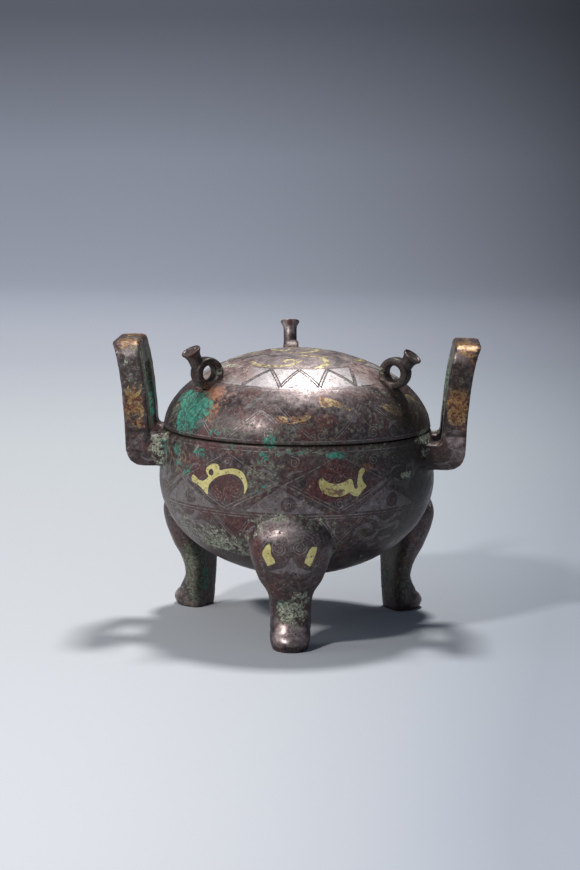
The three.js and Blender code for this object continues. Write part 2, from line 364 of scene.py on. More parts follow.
EAR_WIDTH, EAR_STRAP, EAR_THICK, EAR_RISE = 45.8, 12.3, 11.2, 42.1
EAR_GAP, EAR_FLARE, EAR_DOWN = 2.8, 5.6, 16.4
EAR_LEAN = 1.2
EAR_DROP = {"right": 4.4, "left": 1.9}
EAR_TOP = SEAM + EAR_RISE


def ear_profile(drop):
    inner = BELLY_R + EAR_GAP
    outer = inner + EAR_THICK
    under, bracket, low_bend = SEAM - EAR_DOWN, SEAM - drop, EAR_TOP - EAR_RISE * 0.42
    root = math.sqrt(RIM_R**2 - (EAR_WIDTH / 2) ** 2) - 1.5
    flare, edge = EAR_TOP - EAR_RISE * 0.13, 1.5
    inner_top, outer_top = inner + EAR_FLARE - 1.3, outer + EAR_FLARE
    line = [[root, under], [outer - 9.5, under]]
    line += quadratic(line[-1], (outer, under), (outer, under + 9.5))
    line += quadratic(line[-1], (outer + EAR_FLARE * 0.1, low_bend), (outer + EAR_FLARE * 0.7, flare))
    line += [[outer_top, EAR_TOP - edge]]
    line += quadratic(line[-1], (outer_top, EAR_TOP), (outer_top - edge, EAR_TOP))
    line += [[inner_top + edge, EAR_TOP]]
    line += quadratic(line[-1], (inner_top, EAR_TOP), (inner_top, EAR_TOP - edge))
    line += [[inner + EAR_FLARE * 0.7, flare]]
    line += quadratic(line[-1], (inner + EAR_FLARE * 0.2, low_bend), (inner, bracket + 2.4))
    line += quadratic(line[-1], (inner, bracket), (inner - 2.4, bracket))
    return line + [[root, bracket]]


def ear_face():
    half, slot = EAR_WIDTH / 2, EAR_WIDTH / 2 - EAR_STRAP
    bottom, slot_top, arch = SEAM - EAR_DOWN - 1, EAR_TOP - EAR_STRAP, 9.5
    line = [[-half, bottom], [-slot, bottom], [-slot, slot_top - 3]]
    line += quadratic(line[-1], (-slot, slot_top), (-slot + 3, slot_top))
    line += [[slot - 3, slot_top]]
    line += quadratic(line[-1], (slot, slot_top), (slot, slot_top - 3))
    line += [[slot, bottom], [half, bottom]]
    for start, centre in ((0, half - arch), (90, -half + arch)):
        for a in np.radians(np.linspace(start, start + 90, 13)):
            line.append([centre + arch * math.cos(a), EAR_TOP - arch + arch * math.sin(a)])
    return line


def ear(side):
    solid = face_outward(new_object("ear_" + side,
                                    *prism(ear_profile(EAR_DROP[side]), 1, -EAR_WIDTH / 2, EAR_WIDTH / 2)))
    face = face_outward(new_object("face", *prism(ear_face(), 0, 30, 95)))
    join_solids(solid, [face], "INTERSECT")
    remove(face)
    grid = solid.modifiers.new("grid", "REMESH")
    grid.mode = "VOXEL"
    grid.voxel_size = 0.95 * MM
    with_modifiers(solid)
    points = points_of(solid.data)
    points = neighbour_average(solid.data, points, 3, np.ones(len(points)))
    points = turned_about_y(points, EAR_LEAN, (RIM_R, SEAM - EAR_DOWN / 2))
    set_points(solid.data, turned(points, 0 if side == "right" else 180))
    return solid


def turned_about_y(points, degrees, hinge):
    """Points leaned outward, +X side down, about a line along Y."""
    angle = math.radians(degrees)
    x, z = points[:, 0] - hinge[0], points[:, 2] - hinge[1]
    points = points.copy()
    points[:, 0] = hinge[0] + x * math.cos(angle) + z * math.sin(angle)
    points[:, 2] = hinge[1] - x * math.sin(angle) + z * math.cos(angle)
    return points


# The lid's solids

def dome_pairs(radius, height, start, steps):
    angle = np.linspace(start, math.pi / 2, steps)
    pairs = [
        (radius * max(0.0, math.cos(a)) ** (2 / FULLNESS),
         LID_EDGE + height * math.sin(a) ** (2 / FULLNESS)) for a in angle
    ]
    pairs[-1] = (0, pairs[-1][1])
    return pairs


def dome_level(radius):
    return LID_EDGE + LID_HEIGHT * np.maximum(0, 1 - (radius / LID_R) ** FULLNESS) ** (1 / FULLNESS)


def dome_outside():
    rounding = [
        (LID_R - EDGE + EDGE * math.sin(a),
         LID_EDGE + EDGE * (1 - math.cos(a))) for a in np.linspace(0, math.pi / 2, 4)
    ]
    return new_object("lid_body", *lathe([(0, LID_EDGE), (SOCKET_R - 2, LID_EDGE)] + rounding
                                         + dome_pairs(LID_R, LID_HEIGHT, 0.05, 70), 320))


def dome_inside():
    height = LID_HEIGHT - LID_WALL
    start = math.asin(((SOCKET_TOP - LID_EDGE) / height) ** (FULLNESS / 2))
    profile = [(0, LID_EDGE - 1), (SOCKET_R, LID_EDGE - 1), (SOCKET_R, SOCKET_TOP)]
    return new_object("lid_hollow", *lathe(profile + dome_pairs(LID_R - LID_WALL, height, start, 24), 160))


KNOB_R, RING_R, HOLE_R, RING_WIDTH, STANDOFF = 50.2, 7.3, 3.6, 7.2, 7.1
NECK_R, POST_R, DISH, POST_ANGLE = 3.2, 4.6, 0.5, 34
POSTS = ((20, 13.6), (29, 8.8), (38, 7.0))


def knob_ring():
    """A band round a hole, with soft edges, standing in the X-Z plane."""
    middle, half, around, across = (RING_R + HOLE_R) / 2, (RING_R - HOLE_R) / 2, 72, 28
    soft = lambda value: np.sign(value) * np.abs(value) ** 0.55
    phi = np.arange(across) * 2 * math.pi / across
    verts, faces = [], []
    for i in range(around):
        a = i * 2 * math.pi / around
        for p in phi:
            radius = middle + half * soft(math.cos(p))
            verts.append((radius * math.cos(a), RING_WIDTH / 2 * soft(math.sin(p)), radius * math.sin(a)))
        for j in range(across):
            k, n = (i + 1) % around, (j + 1) % across
            faces.append([i * across + j, i * across + n, k * across + n, k * across + j])
    return np.array(verts), faces


def post(length):
    rounding = [(POST_R - 0.35 * (1 - math.cos(a)), length - 0.35 + 0.35 * math.sin(a)) for a in (0.5, 1.0,
                                                                                                  1.5)]
    profile = [(0, -1), (NECK_R, -1)] + [(NECK_R, z) for z in np.linspace(0, length - 4, 8)]
    profile += [(NECK_R + 0.15, length - 3.2), (NECK_R + 0.4, length - 2.4), (NECK_R + 0.8, length - 1.7),
                (POST_R - 0.15, length - 1.0)]
    profile += [(POST_R, length - 0.7)] + rounding
    profile += [(POST_R - 0.8, length - 0.05), (POST_R - 1.3, length - DISH), (1.5, length - DISH - 0.1),
                (0, length - DISH - 0.1)]
    return lathe(profile, 44)


def knob(name, turn, lean, length):
    level = float(dome_level(KNOB_R)) + STANDOFF
    band_verts, band_faces = knob_ring()
    band = face_outward(new_object(name, band_verts + [KNOB_R, 0, level], band_faces))
    post_verts, post_faces = post(length)
    angle = math.radians(lean)
    x, z = post_verts[:, 0].copy(), post_verts[:, 2].copy()
    middle, foot = (RING_R + HOLE_R) / 2, math.radians(POST_ANGLE)
    post_verts[:, 0] = KNOB_R + middle * math.cos(foot) + x * math.cos(angle) + z * math.sin(angle)
    post_verts[:, 2] = level + middle * math.sin(foot) - x * math.sin(angle) + z * math.cos(angle)
    standing = face_outward(new_object("post", post_verts, post_faces))
    join_solids(band, [standing])
    remove(standing)
    set_points(band.data, turned(points_of(band.data), turn))
    return band


# Where corrosion, polish and painted light and shade lie

# Patches of corrosion, polish and painted light and shade by kind: middle (x, y, z) about the axis, half-width,
# half-height along the surface, strength.
# mal is vivid malachite, crust is pale and thick, red is cuprite, rust is orange earth; the polished kind is metal kept
# polished, its colour lightened as a painted highlight where the light falls; the soot kind is dark soot on the knobs
# and painted shade on the bowl's right side and along the seam.
PATCHES = {
    "mal": [
        (-46.6, -36.0, 105.2, 12.6, 10.0, 1.15), (-49.6, -24.6, 110, 9.5, 4.3, 1),
        (-43.6, -35.4, 109.2, 5.7, 4.5, 0.9), (-51.4, -35.6, 97.5, 5.5, 2.9, 0.9),
        (-42.5, -47.7, 88, 4.2, 2.4, 0.8), (-53.2, -35.4, 87.3, 3.9, 3.8, 0.8),
        (-12.6, -62.6, 88.1, 3.4, 2.4, 0.75), (20.4, -60.3, 89.6, 4.4, 1.9, 0.85),
        (-16.9, -62.7, 72.2, 2.5, 1.9, 0.6), (-61, -22.9, 86.2, 2.1, 6.7, 0.75),
        (-9.5, -61.9, 96.1, 3.4, 2.4, 0.8), (-35.4, -51.5, 97.4, 4.2, 1.9, 0.6),
        (-12.9, -63.5, 75.1, 2.4, 2.4, 0.5), (-26.8, -57.4, 92, 2.1, 1.6, 0.4),
        (-47.9, -43.4, 78.9, 3.8, 3.8, 0.5), (-45.9, 22.9, 13.3, 4.4, 6.8, 0.55),
        (42.8, 28.5, 12.2, 3.9, 5.8, 0.4), (-1.8, -62.2, 20.1, 5.8, 4.8, 0.55),
        (-71.1, 10.6, 103.6, 2.4, 11.5, 0.7), (-71.4, 4.8, 123.6, 4.7, 5.7, 0.5),
        (70.8, 10.6, 112.9, 1.9, 12.5, 0.6), (-53.1, -36.6, 81.4, 4.7, 2.4, 0.5),
        (-0.5, -63.6, 90.7, 6.7, 1.4, 0.45), (-60.4, -23.6, 75.4, 3.6, 4.8, 0.5),
    ],
    "crust": [
        (-71, -12, 116, 9, 22, 0.62), (-75, -6, 133, 6, 6, 0.5),
        (-64.7, -22.9, 87, 3.3, 5.8, 0.85), (-62.4, -22.9, 82.4, 2.2, 4.8, 0.8),
        (-61.5, -21.8, 91.6, 4.7, 1.9, 0.7), (59.8, -21.2, 92, 9.5, 2.9, 1),
        (59.3, -23.9, 86.8, 2.8, 3.8, 0.6), (-29.3, -17.6, 123.9, 14, 2, 0.85),
        (-33.6, -29, 122.9, 4.9, 1.9, 0.8), (39.4, -21.3, 123, 2.6, 1.9, 0.6),
        (-33.5, -44.4, 46.4, 14.7, 8.6, 0.85), (-47.8, -34, 50.2, 8.2, 9.4, 0.6),
        (-20.4, -56.2, 52.1, 3.5, 3.7, 0.7), (-15.6, -61.1, 59.1, 4.5, 2.2, 0.6),
        (52, -38.5, 77.4, 4.8, 2.4, 0.9), (0.5, -61.8, 17.8, 7.2, 5.4, 0.85), (4.9, -61.9, 24, 4.6, 4.8, 0.7),
        (18.4, -49.1, 42.6, 1, 6.6, 0.7), (-23.7, -47.1, 42.9, 7.6, 5.1, 0.7),
        (-14.5, -64.5, 56.0, 3.0, 5.6, 0.75), (-9.0, -65.0, 62.4, 7.0, 0.9, 0.6), (8.0, -64.0, 62.6, 7.0, 0.9,
                                                                                   0.5),
        (17.5, -58.0, 54.0, 2.2, 8.0, 0.6), (-19.5, -53.0, 45.0, 2.6, 8.0, 0.6),
        (-79.2, -17.8, 133.1, 1.9, 5.6, 0.3), (-36.3, -50.1, 55.8, 5, 2.7, 0.4),
        (-29.7, -32.2, 119.2, 4.3, 2.7, 0.5), (-43.5, -46.3, 90.5, 2.2, 1.9, 0.6),
        (14, -61.6, 59.7, 4.3, 2.7, 0.6), (-57.3, 23.1, 6, 2.2, 4.8, 0.4),
    ],
    "red": [
        (-39.2, -49.9, 91.6, 10.2, 1.9, 0.9), (-50.1, -36.8, 98.9, 3.8, 2.2, 1.3),
        (-44, -26.2, 114, 4.1, 2, 0.9), (10.4, -64, 74.6, 4.3, 5.3, 0.85), (17.5, -62.5, 72, 9, 3.5,
                                                                            1.1), (20.5, -61, 82, 8.9, 6.2,
                                                                                   1.0),
        (-29.4, -57.9, 73.8, 9.3, 7.2, 0.75), (8.3, -61.6, 99.1, 6.7, 4.2, 0.75),
        (-23.1, -57.3, 55.5, 8.8, 6.9, 0.95), (-22.6, -28.5, 123, 2.2, 6.1, 0.9),
        (-18.3, -45.7, 115.5, 5.2, 3.7, 0.75), (-14.1, 1.1, 129.5, 16.6, 2.4, 0.7),
        (3.6, -58.3, 106.2, 13.3, 5.8, 0.45), (15.2, -57.7, 104.5, 6.3, 4, 0.65),
        (-15.7, -65.8, 47.7, 4.5, 7.3, 0.85), (-8.9, -68.1, 56, 8, 3.5, 0.5), (64, -22.9, 84.3, 2.4, 4.3,
                                                                               0.9),
        (75.4, -22.9, 113.9, 2.4, 9.6, 0.45), (-75.4, -22.9, 105.7, 2.4, 8.6, 0.45),
        (-43.9, -47.3, 80.5, 7.2, 5.7, 0.8), (-50.4, -40.9, 72, 8.1, 3.9, 0.5),
        (16.7, -49.8, 112.9, 8, 6.1, 0.45), (36.3, -53.8, 68.2, 4.5, 4.4, 0.3),
        (-6.2, 54.7, 137.7, 1.4, 2.4, 0.8), (-5, 52.9, 129.9, 3.1, 2.9, 0.7),
        (-4.1, -66.7, 5.9, 3.8, 2.9, 0.35), (-13.6, -55.1, 108.7, 6.9, 5.4, 0.45),
        (30.4, -52.6, 102.2, 7.7, 4.3, 0.3), (-23.9, -59.8, 82, 5.3, 2.9, 0.4), (-40, -49, 62, 12, 5, 0.6),
        (17.2, -60.2, 96.3, 9.9, 2, 0.5), (4, -63.9, 85.4, 9.5, 4.8, 0.35),
    ],
    "rust": [
        (-37.1, -36.8, 113.2, 6.4, 6.4, 1.3), (-36.9, -45.1, 106.5, 4.5, 6, 1.0), (-33, -40, 112, 9, 9, 0.6),
        (-50, -38, 84, 10, 7, 0.5),
        (-10.6, -63.7, 66.1, 4.4, 2.6, 0.55), (34.3, -54.4, 83.4, 3.9, 2.4, 0.9),
        (-40.6, -38.2, 109.6, 2.9, 3, 0.6), (0.6, -59.6, 104.5, 8.5, 2, 0.7),
        (62.6, -22.9, 88.1, 1.9, 2.9, 0.6), (-74.5, -22.9, 93, 1.9, 3.8, 0.4),
        (-51.6, -38.1, 84.5, 5.3, 2.4, 0.4), (76.3, -22.9, 96.2, 2.4, 4.8, 0.4),
        (12.2, -24.9, 126.3, 2.1, 3.4, 0.3),
    ],
    # Dark soot on the two front knobs; the rest is painted shade, mostly on the right side of the bowl, lid, ear and
    # back leg, where the key light doesn't reach.
    "soot_and_painted_shade": [
        (-40.5, -29.6, 124, 11, 11, 0.85), (45.9, -20.3, 124, 11, 11, 0.85), (53.0, -32.0, 78, 18, 22, 1.2),
        (47.0, -36.0, 56, 24, 12, 0.8), (52.0, -29.0, 104, 16, 12, 0.95), (30.0, -50.0, 84, 14, 8, 0.45),
        (48.0, 22.0, 20, 9, 24, 0.5), (-14.0, -47.0, 30, 5, 12, 0.3), (76, -22.9, 120, 5, 9, 0.6),
    ],
    "moss": [
        (-49.5, -40.7, 85.4, 21.3, 10.5, 0.55), (-56.3, -32.3, 72.3, 9.9, 13.4, 0.5),
        (-13, -63, 82.7, 13.7, 5.7, 0.6), (-16, -62.9, 73.6, 11.9, 6.2, 0.6),
        (-34.9, -52.3, 95.2, 14.5, 2.4, 0.5), (4, -63.3, 91.1, 28.5, 2.4, 0.7),
        (39.5, -49.9, 89.6, 23.9, 3.8, 0.7), (51.1, -39.8, 76.2, 15.2, 12.5, 0.5),
        (-54.2, -25.6, 104, 8.3, 8.5, 0.8), (-40.2, -42.9, 105.7, 12.6, 8.8, 0.35),
        (-27.1, -54.7, 101.6, 16.5, 6.3, 0.45), (52.1, -28.3, 105, 15.3, 10.5, 0.6),
        (-35.5, -43.1, 46.5, 24.7, 10.6, 0.8), (31, -30.5, 35.7, 30, 7.9, 0.5),
        (45.5, -38.3, 51.6, 24.4, 13, 0.45), (-50.5, 18.4, 19.2, 6.6, 18.6, 1.1),
        (47.5, 20, 20.6, 8.4, 17.6, 0.8), (0.9, -61.7, 17.8, 7.6, 7.6, 0.9), (18.9, -50.6, 44.3, 2, 14.7,
                                                                              0.8),
        (-17.7, -63, 47.1, 4.7, 10.7, 0.6), (-0.1, -65.9, 61.2, 19, 2.7, 0.7),
        (-71.1, 10.6, 113.3, 4.5, 22.1, 1.1), (70, -18.3, 114.2, 4.7, 23.9, 1.0), (-71.0, -8, 113, 4.5, 22,
                                                                                   1.2),
        (-71.0, -18, 113, 5, 25, 1.2), (-75.5, -11, 134, 4, 10, 0.6),
        (17.3, -61.7, 85.2, 19.6, 3.8, 0.5), (23.8, -58, 96.1, 20.6, 2.9, 0.35),
        (17.6, -62.3, 67.2, 11.7, 3.9, 0.5), (-61, -22.9, 79.1, 5.9, 14.4, 0.8),
        (60.7, -20.8, 62.7, 7.1, 14.7, 0.4), (-76.5, -22.9, 117, 5, 9, 0.45), (76.5, -22.9, 121, 5, 6, 0.3),
        (-12, 40, 122, 24, 14, 0.5), (20, 58, 80, 30, 10, 0.4),
    ],
    "gilt": [
        (-75.4, -22.9, 107.1, 4.6, 7.6, 1), (-77.2, -14.7, 134.6, 6.8, 6.6, 1),
        (75.1, -22.9, 107.2, 4.8, 9.1, 1.1), (78.1, -14.2, 134.8, 6.8, 10.8, 1),
        (-73.6, -22.9, 96.8, 4.0, 2.8, 0.8), (79, -20, 131.5, 5.5, 2.6, 0.7), (-79, -19.5, 132.5, 5.5, 2.0,
                                                                               0.7),
    ],
    "tarnish": [(-33, -21, 121.5, 13, 12, 1.3), (35, -21, 121, 10, 11, 1.1), (-23, -32, 122, 6, 8, 0.8)],
    # Polished metal with painted highlights: the lid's top, the knee, the feet and the ear tops are lightened in colour
    # where the light falls.
    "polish_and_painted_highlight": [
        (-77, -20.7, 130.2, 4.3, 3.1, 0.9), (-74, -22.9, 87.4, 3.8, 3.8, 0.5),
        (76.6, -20.9, 129.9, 4.8, 3.2, 0.8), (74, -22.9, 91.5, 4.7, 4.3, 0.8),
        (76.5, -22.9, 84.5, 4.7, 3.8, 0.6), (0.3, -66.1, 8.6, 9.6, 5.4, 1.0),
        (-51.5, 19.8, 2.9, 5.9, 2.6, 0.5), (-4.0, -68.5, 56.5, 12.0, 6.0,
                                            1.1), (0, 4, 131, 42, 42, 1.1), (-28, -34, 117, 13, 12, 0.7),
        (0, -50, 115, 30, 12, 0.5), (-6.2, 54.7, 137.7, 4, 6, 0.9), (-5.0, 52.9, 129.9, 4, 5, 0.8),
        (2.8, -40.3, 121.1, 31.3, 9, 1.1), (2, -22.7, 127.7, 21.8, 16.2, 0.7),
        (-3.4, -52.7, 112.6, 16.3, 5.5, 0.6), (23.6, -52.1, 107.9, 8.2, 4.9, 0.5),
        (39.2, -37, 111.5, 11, 5.2, 0.3), (-46.8, -44.8, 68, 15, 3.9, 0.35),
        (38.7, -45.9, 52.5, 18.4, 9, 0.35), (-5.8, -68.9, 56.7, 6, 3.5, 0.7),
        (-42.2, -45.5, 56.2, 12.5, 4.2, 0.3), (14.6, -52.4, 111, 14.6, 5.9, 0.4),
        (23.8, -58, 96.1, 20.6, 2.4, 0.2),
    ],
}


def surface_wear(points, scale):
    """A casting's unevenness, in millimetres."""
    return scale * (0.6 * fbm(points, 26, 3, 3.1) + 0.4 * fbm(points, 7, 3, 8.7))


def roughen(obj, hold):
    """Small unevenness of the outside; hold is 0 where a fit must stay exact."""
    points = points_of(obj.data)
    shift = surface_wear(points, 0.16) * hold(points)
    set_points(obj.data, points + normals_of(obj.data) * shift[:, None])


def finish_mesh(obj):
    bm = bmesh.new()
    bm.from_mesh(obj.data)
    bmesh.ops.remove_doubles(bm, verts=bm.verts, dist=0.05 * MM)
    bmesh.ops.dissolve_degenerate(bm, edges=bm.edges, dist=0.02 * MM)
    bm.to_mesh(obj.data)
    bm.free()
    obj.data.shade_smooth()
    obj.data.set_sharp_from_angle(angle=math.radians(SHARP_BODY))


def build_vessel():
    body = bowl_outside()
    legs = [leg(f"leg_{i}", a) for i, a in enumerate(LEG_ANGLES)]
    ears = [ear("right"), ear("left")]
    trees = [tree_of(body)] + [tree_of(o) for o in legs + ears]
    join_solids(body, legs + ears)
    blend_joins(body, trees, 3.6)
    roughen(body,
            lambda p: smooth_step((SEAM - 1.2 - p[:, 2]) / 2 + 10.0 * (np.hypot(p[:, 0],
                                                                                p[:, 1]) > RIM_R + 1.5)))
    cavity = bowl_cavity()
    join_solids(body, [cavity], "DIFFERENCE")
    remove(cavity, *legs, *ears)
    finish_mesh(body)
    points = points_of(body.data)
    points[:, 2] = np.maximum(points[:, 2], 0.0)
    set_points(body.data, points + AXIS)
    return body


def build_lid():
    body = dome_outside()
    knobs = [knob(f"knob_{i}", a, *own) for i, (a, own) in enumerate(zip(KNOB_ANGLES, POSTS))]
    trees = [tree_of(body)] + [tree_of(o) for o in knobs]
    join_solids(body, knobs)
    blend_joins(body, trees, 2.2)
    roughen(body, lambda p: smooth_step((p[:, 2] - LID_EDGE - 0.6) / 2))
    hollow = dome_inside()
    join_solids(body, [hollow], "DIFFERENCE")
    remove(hollow, *knobs)
    finish_mesh(body)
    set_points(body.data, points_of(body.data) + AXIS)
    return body


# Inlay sheets

def between(start, end, count):
    return np.linspace(np.array(start, float), np.array(end, float), count)


def smooth_line(points, step=0.6, closed=False):
    """A Catmull-Rom curve through points, at even steps."""
    p = np.array(points, float)
    if closed:
        p = np.concatenate([p[-1:], p, p[:2]])
    else:
        p = np.concatenate([2 * p[:1] - p[1:2], p, 2 * p[-1:] - p[-2:-1]])
    fine = []
    for a, b, c, d in zip(p, p[1:], p[2:], p[3:]):
        t = np.linspace(0, 1, 13)[:-1, None]
        square, cube = 2 * a - 5 * b + 4 * c - d, 3 * b - a - 3 * c + d
        fine.append(0.5 * (2 * b + (c - a) * t + square * t**2 + cube * t**3))
    fine = np.concatenate(fine + [p[-2:-1]])
    return even_line(fine, step)


def even_line(points, step):
    points = np.array(points, float)
    length = np.linalg.norm(np.diff(points, axis=0), axis=1)
    run = np.concatenate([[0], np.cumsum(length)])
    at = np.linspace(0, run[-1], max(2, int(round(run[-1] / step)) + 1))
    return np.stack([np.interp(at, run, points[:, i]) for i in range(points.shape[1])], 1)


def spiral(centre, radius, turns=1.6, start=0.0, hand=1, tail=0.0):
    """A spiral line from its outer end in, with an optional straight tail before it."""
    angle = np.linspace(0, turns * 2 * math.pi, int(20 * turns) + 2)
    reach = radius * (1 - 0.82 * angle / angle[-1])
    turn = math.radians(start) + hand * angle
    line = np.stack([centre[0] + reach * np.cos(turn), centre[1] + reach * np.sin(turn)], 1)
    if tail:
        back = line[0] - (line[1] - line[0]) / np.linalg.norm(line[1] - line[0]) * tail
        line = np.concatenate([[back], line])
    return line


def ellipse(centre, radii, count):
    angle = np.arange(count) * 2 * math.pi / count
    return np.stack([centre[0] + radii[0] * np.cos(angle), centre[1] + radii[1] * np.sin(angle)], 1)


def inside(points, outline):
    """Which points lie inside a closed outline."""
    x, y = points[:, 0], points[:, 1]
    a, b = outline, np.roll(outline, -1, axis=0)
    found = np.zeros(len(points), bool)
    for (x0, y0), (x1, y1) in zip(a, b):
        if y0 != y1:
            crosses = (y0 > y) != (y1 > y)
            found ^= crosses & (x < (x1 - x0) * (y - y0) / (y1 - y0) + x0)
    return found


class Inlay:
    """Thin sheets of metal let into a surface, as closed shells that stand a hair proud of it."""

    def __init__(self, name, proud=0.05, deep=0.14):
        self.name, self.proud, self.deep = name, proud, deep
        self.verts, self.faces = [], []

    def sheet(self, flat, faces, place):
        found = [place(u, v) for u, v in flat]
        faces = [f for f in faces if all(found[i] is not None for i in f)]
        edges = {}
        for f in faces:
            for a, b in zip(f, list(f[1:]) + [f[0]]):
                edges[(a, b)] = edges.get((a, b), 0) + 1
        used = sorted({i for f in faces for i in f})
        top = {i: len(self.verts) + n for n, i in enumerate(used)}
        low = {i: top[i] + len(used) for i in used}
        self.verts += [found[i][0] + found[i][1] * self.proud for i in used]
        self.verts += [found[i][0] - found[i][1] * self.deep for i in used]
        self.faces += [[top[i] for i in f] for f in faces] + [[low[i] for i in reversed(f)] for f in faces]
        self.faces += [[top[b], top[a], low[a], low[b]] for a, b in edges if (b, a) not in edges]

    def fill(self, outline, place, holes=(), spacing=1.7, step=0.8, smooth=True):
        """A sheet inside a closed outline, with holes."""
        shape = (lambda o: smooth_line(o, step, True)[:-1]) if smooth else (
            lambda o: even_line(np.concatenate([o, o[:1]]), step)[:-1])
        outline = shape(np.array(outline, float))
        holes = [even_line(np.concatenate([h, h[:1]]), step)[:-1] for h in holes]
        low, high = outline.min(0), outline.max(0)
        rows = [[x + (j % 2) * spacing / 2, y] for j,
                y in enumerate(np.arange(low[1], high[1], spacing * 0.87))
                for x in np.arange(low[0], high[0], spacing)]
        grid = np.array(rows) if rows else np.zeros((0, 2))
        loops = [outline] + holes
        if len(grid):
            edge = np.concatenate(loops)
            gap = np.sqrt(((grid[:, None] - edge[None]) ** 2).sum(2)).min(1)
            keep = inside(grid, outline) & (gap > spacing * 0.45)
            for h in holes:
                keep &= ~inside(grid, h)
            grid = grid[keep]
        points = np.concatenate(loops + [grid])
        edges, start = [], 0
        for loop in loops:
            edges += [(start + i, start + (i + 1) % len(loop)) for i in range(len(loop))]
            start += len(loop)
        verts, _, faces, *_ = delaunay_2d_cdt([Vector(p) for p in points], edges, [], 0, 1e-5)
        verts = np.array([tuple(v) for v in verts])
        middle = np.array([verts[list(f)].mean(0) for f in faces])
        keep = inside(middle, outline)
        for h in holes:
            keep &= ~inside(middle, h)
        self.sheet(verts, [list(f) for f, k in zip(faces, keep) if k], place)

    def ribbon(self, line, width, place, taper=True, step=0.6, smooth=True, closed=False):
        """A strip along a line, or round a closed one; width is one number or one for each given point."""
        width = np.broadcast_to(np.asarray(width, float), (len(line),))
        both = np.concatenate([np.array(line, float), width[:, None]], 1)
        both = smooth_line(both, step) if smooth else even_line(both, step)
        line, width = both[:, :2], np.maximum(both[:, 2], 0.12)
        if closed:
            line, width = line[:-1], width[:-1]
        count = len(line)
        if taper and count > 3:
            ends = np.minimum(np.arange(count), np.arange(count)[::-1]) * step
            width = width * np.clip(0.35 + ends / np.maximum(width, 0.5), 0.35, 1)
        along = np.gradient(line, axis=0)
        along /= np.linalg.norm(along, axis=1)[:, None] + 1e-9
        side = np.stack([-along[:, 1], along[:, 0]], 1)
        columns = 2 + int(width.max() > 1.1) + int(width.max() > 2.4)
        share = np.linspace(-0.5, 0.5, columns)
        flat = np.concatenate([line + side * (width * s)[:, None] for s in share])
        faces = []
        for c in range(columns - 1):
            for i in range(count if closed else count - 1):
                j = (i + 1) % count
                faces.append([(c + 1) * count + i, c * count + i, c * count + j, (c + 1) * count + j])
        self.sheet(flat, faces, place)

    def build(self):
        obj = new_object(self.name, self.verts, self.faces)
        obj.data.shade_smooth()
        obj.data.set_sharp_from_angle(angle=math.radians(SHARP_INLAY))
        return obj


def on_surface(tree, point, normal, lift=1.3, limit=2.7):
    """Where a line along the normal meets the surface, or None."""
    origin = Vector((point + AXIS + normal * lift) * MM)
    hit, facing, _, _ = tree.ray_cast(origin, Vector(-normal), limit * MM)
    if hit is None or facing.dot(Vector(normal)) < 0.5:
        return None
    return np.array(hit) / MM, normal


def on_bowl(azimuth):
    """Places (arc, level) about an azimuth on the bowl."""
    def place(u, v):
        angle = math.radians(azimuth) + u / BELLY_R
        radius = float(bowl_radius(v))
        slope = (float(bowl_radius(v + 0.2)) - float(bowl_radius(v - 0.2))) / 0.4
        normal = np.array([math.cos(angle), math.sin(angle), -slope])
        normal /= np.linalg.norm(normal)
        return on_surface(vessel_tree, np.array([radius * math.cos(angle), radius * math.sin(angle), v]),
                          normal)
    return place


def dome_normal(radius, angle):
    slope = float(dome_level(radius + 0.05) - dome_level(max(radius - 0.05, 0))) / 0.1
    normal = np.array([-slope * math.cos(angle), -slope * math.sin(angle), 1.0])
    return normal / np.linalg.norm(normal)


def on_dome(turn=0.0):
    """Places (x, y) seen from above on the lid, in the lid's own turn."""
    def place(u, v):
        radius, angle = min(math.hypot(u, v), LID_R - 0.1), math.atan2(v, u) + math.radians(LID_TURN + turn)
        point = np.array([radius * math.cos(angle), radius * math.sin(angle), float(dome_level(radius))])
        return on_surface(lid_tree, point, dome_normal(radius, angle))
    return place


def on_lid_side(azimuth):
    """Places (arc, level) about an azimuth on the lid's steep side."""
    def place(u, v):
        angle = math.radians(azimuth + LID_TURN) + u / LID_ARC_R
        rise = min(max((v - LID_EDGE) / LID_HEIGHT, 0), 1)
        radius = LID_R * (1 - rise**FULLNESS) ** (1 / FULLNESS)
        point = np.array([radius * math.cos(angle), radius * math.sin(angle), v])
        return on_surface(lid_tree, point, dome_normal(radius, angle))
    return place


def on_leg(turn):
    """Places (across, level) on the front of a leg."""
    angle = math.radians(turn)
    out, side = np.array([math.cos(angle), math.sin(angle), 0]), np.array([-math.sin(angle), math.cos(angle),
                                                                           0])

    def place(u, v):
        origin = Vector((AXIS + out * 90 + side * u + [0, 0, v]) * MM)
        hit, facing, _, _ = vessel_tree.ray_cast(origin, Vector(-out), 45 * MM)
        if hit is None or facing.dot(Vector(out)) < 0.25:
            return None
        return np.array(hit) / MM, np.array(facing)
    return place


def on_ear(side, face):
    """Places on one face of an ear.

    The near and far faces take (outward, level), the outer one (across, level), the top (outward, across).
    """
    hand = 1 if side == "right" else -1
    outward = np.array([hand, 0.0, 0.0])

    def place(u, v):
        if face in ("near", "far"):
            way = np.array([0.0, 1.0 if face == "near" else -1.0, 0.0])
            start = outward * u + [0, 0, v] - way * 40
        elif face == "outer":
            way, start = -outward, outward * 100 + [0, u, v]
        else:
            way, start = np.array([0.0, 0.0, -1.0]), outward * u + [0, v, 150]
        hit, facing, _, _ = vessel_tree.ray_cast(Vector((AXIS + start) * MM), Vector(way), 30 * MM)
        if hit is None or facing.dot(Vector(-way)) < 0.55:
            return None
        return np.array(hit) / MM, np.array(facing)
    return place


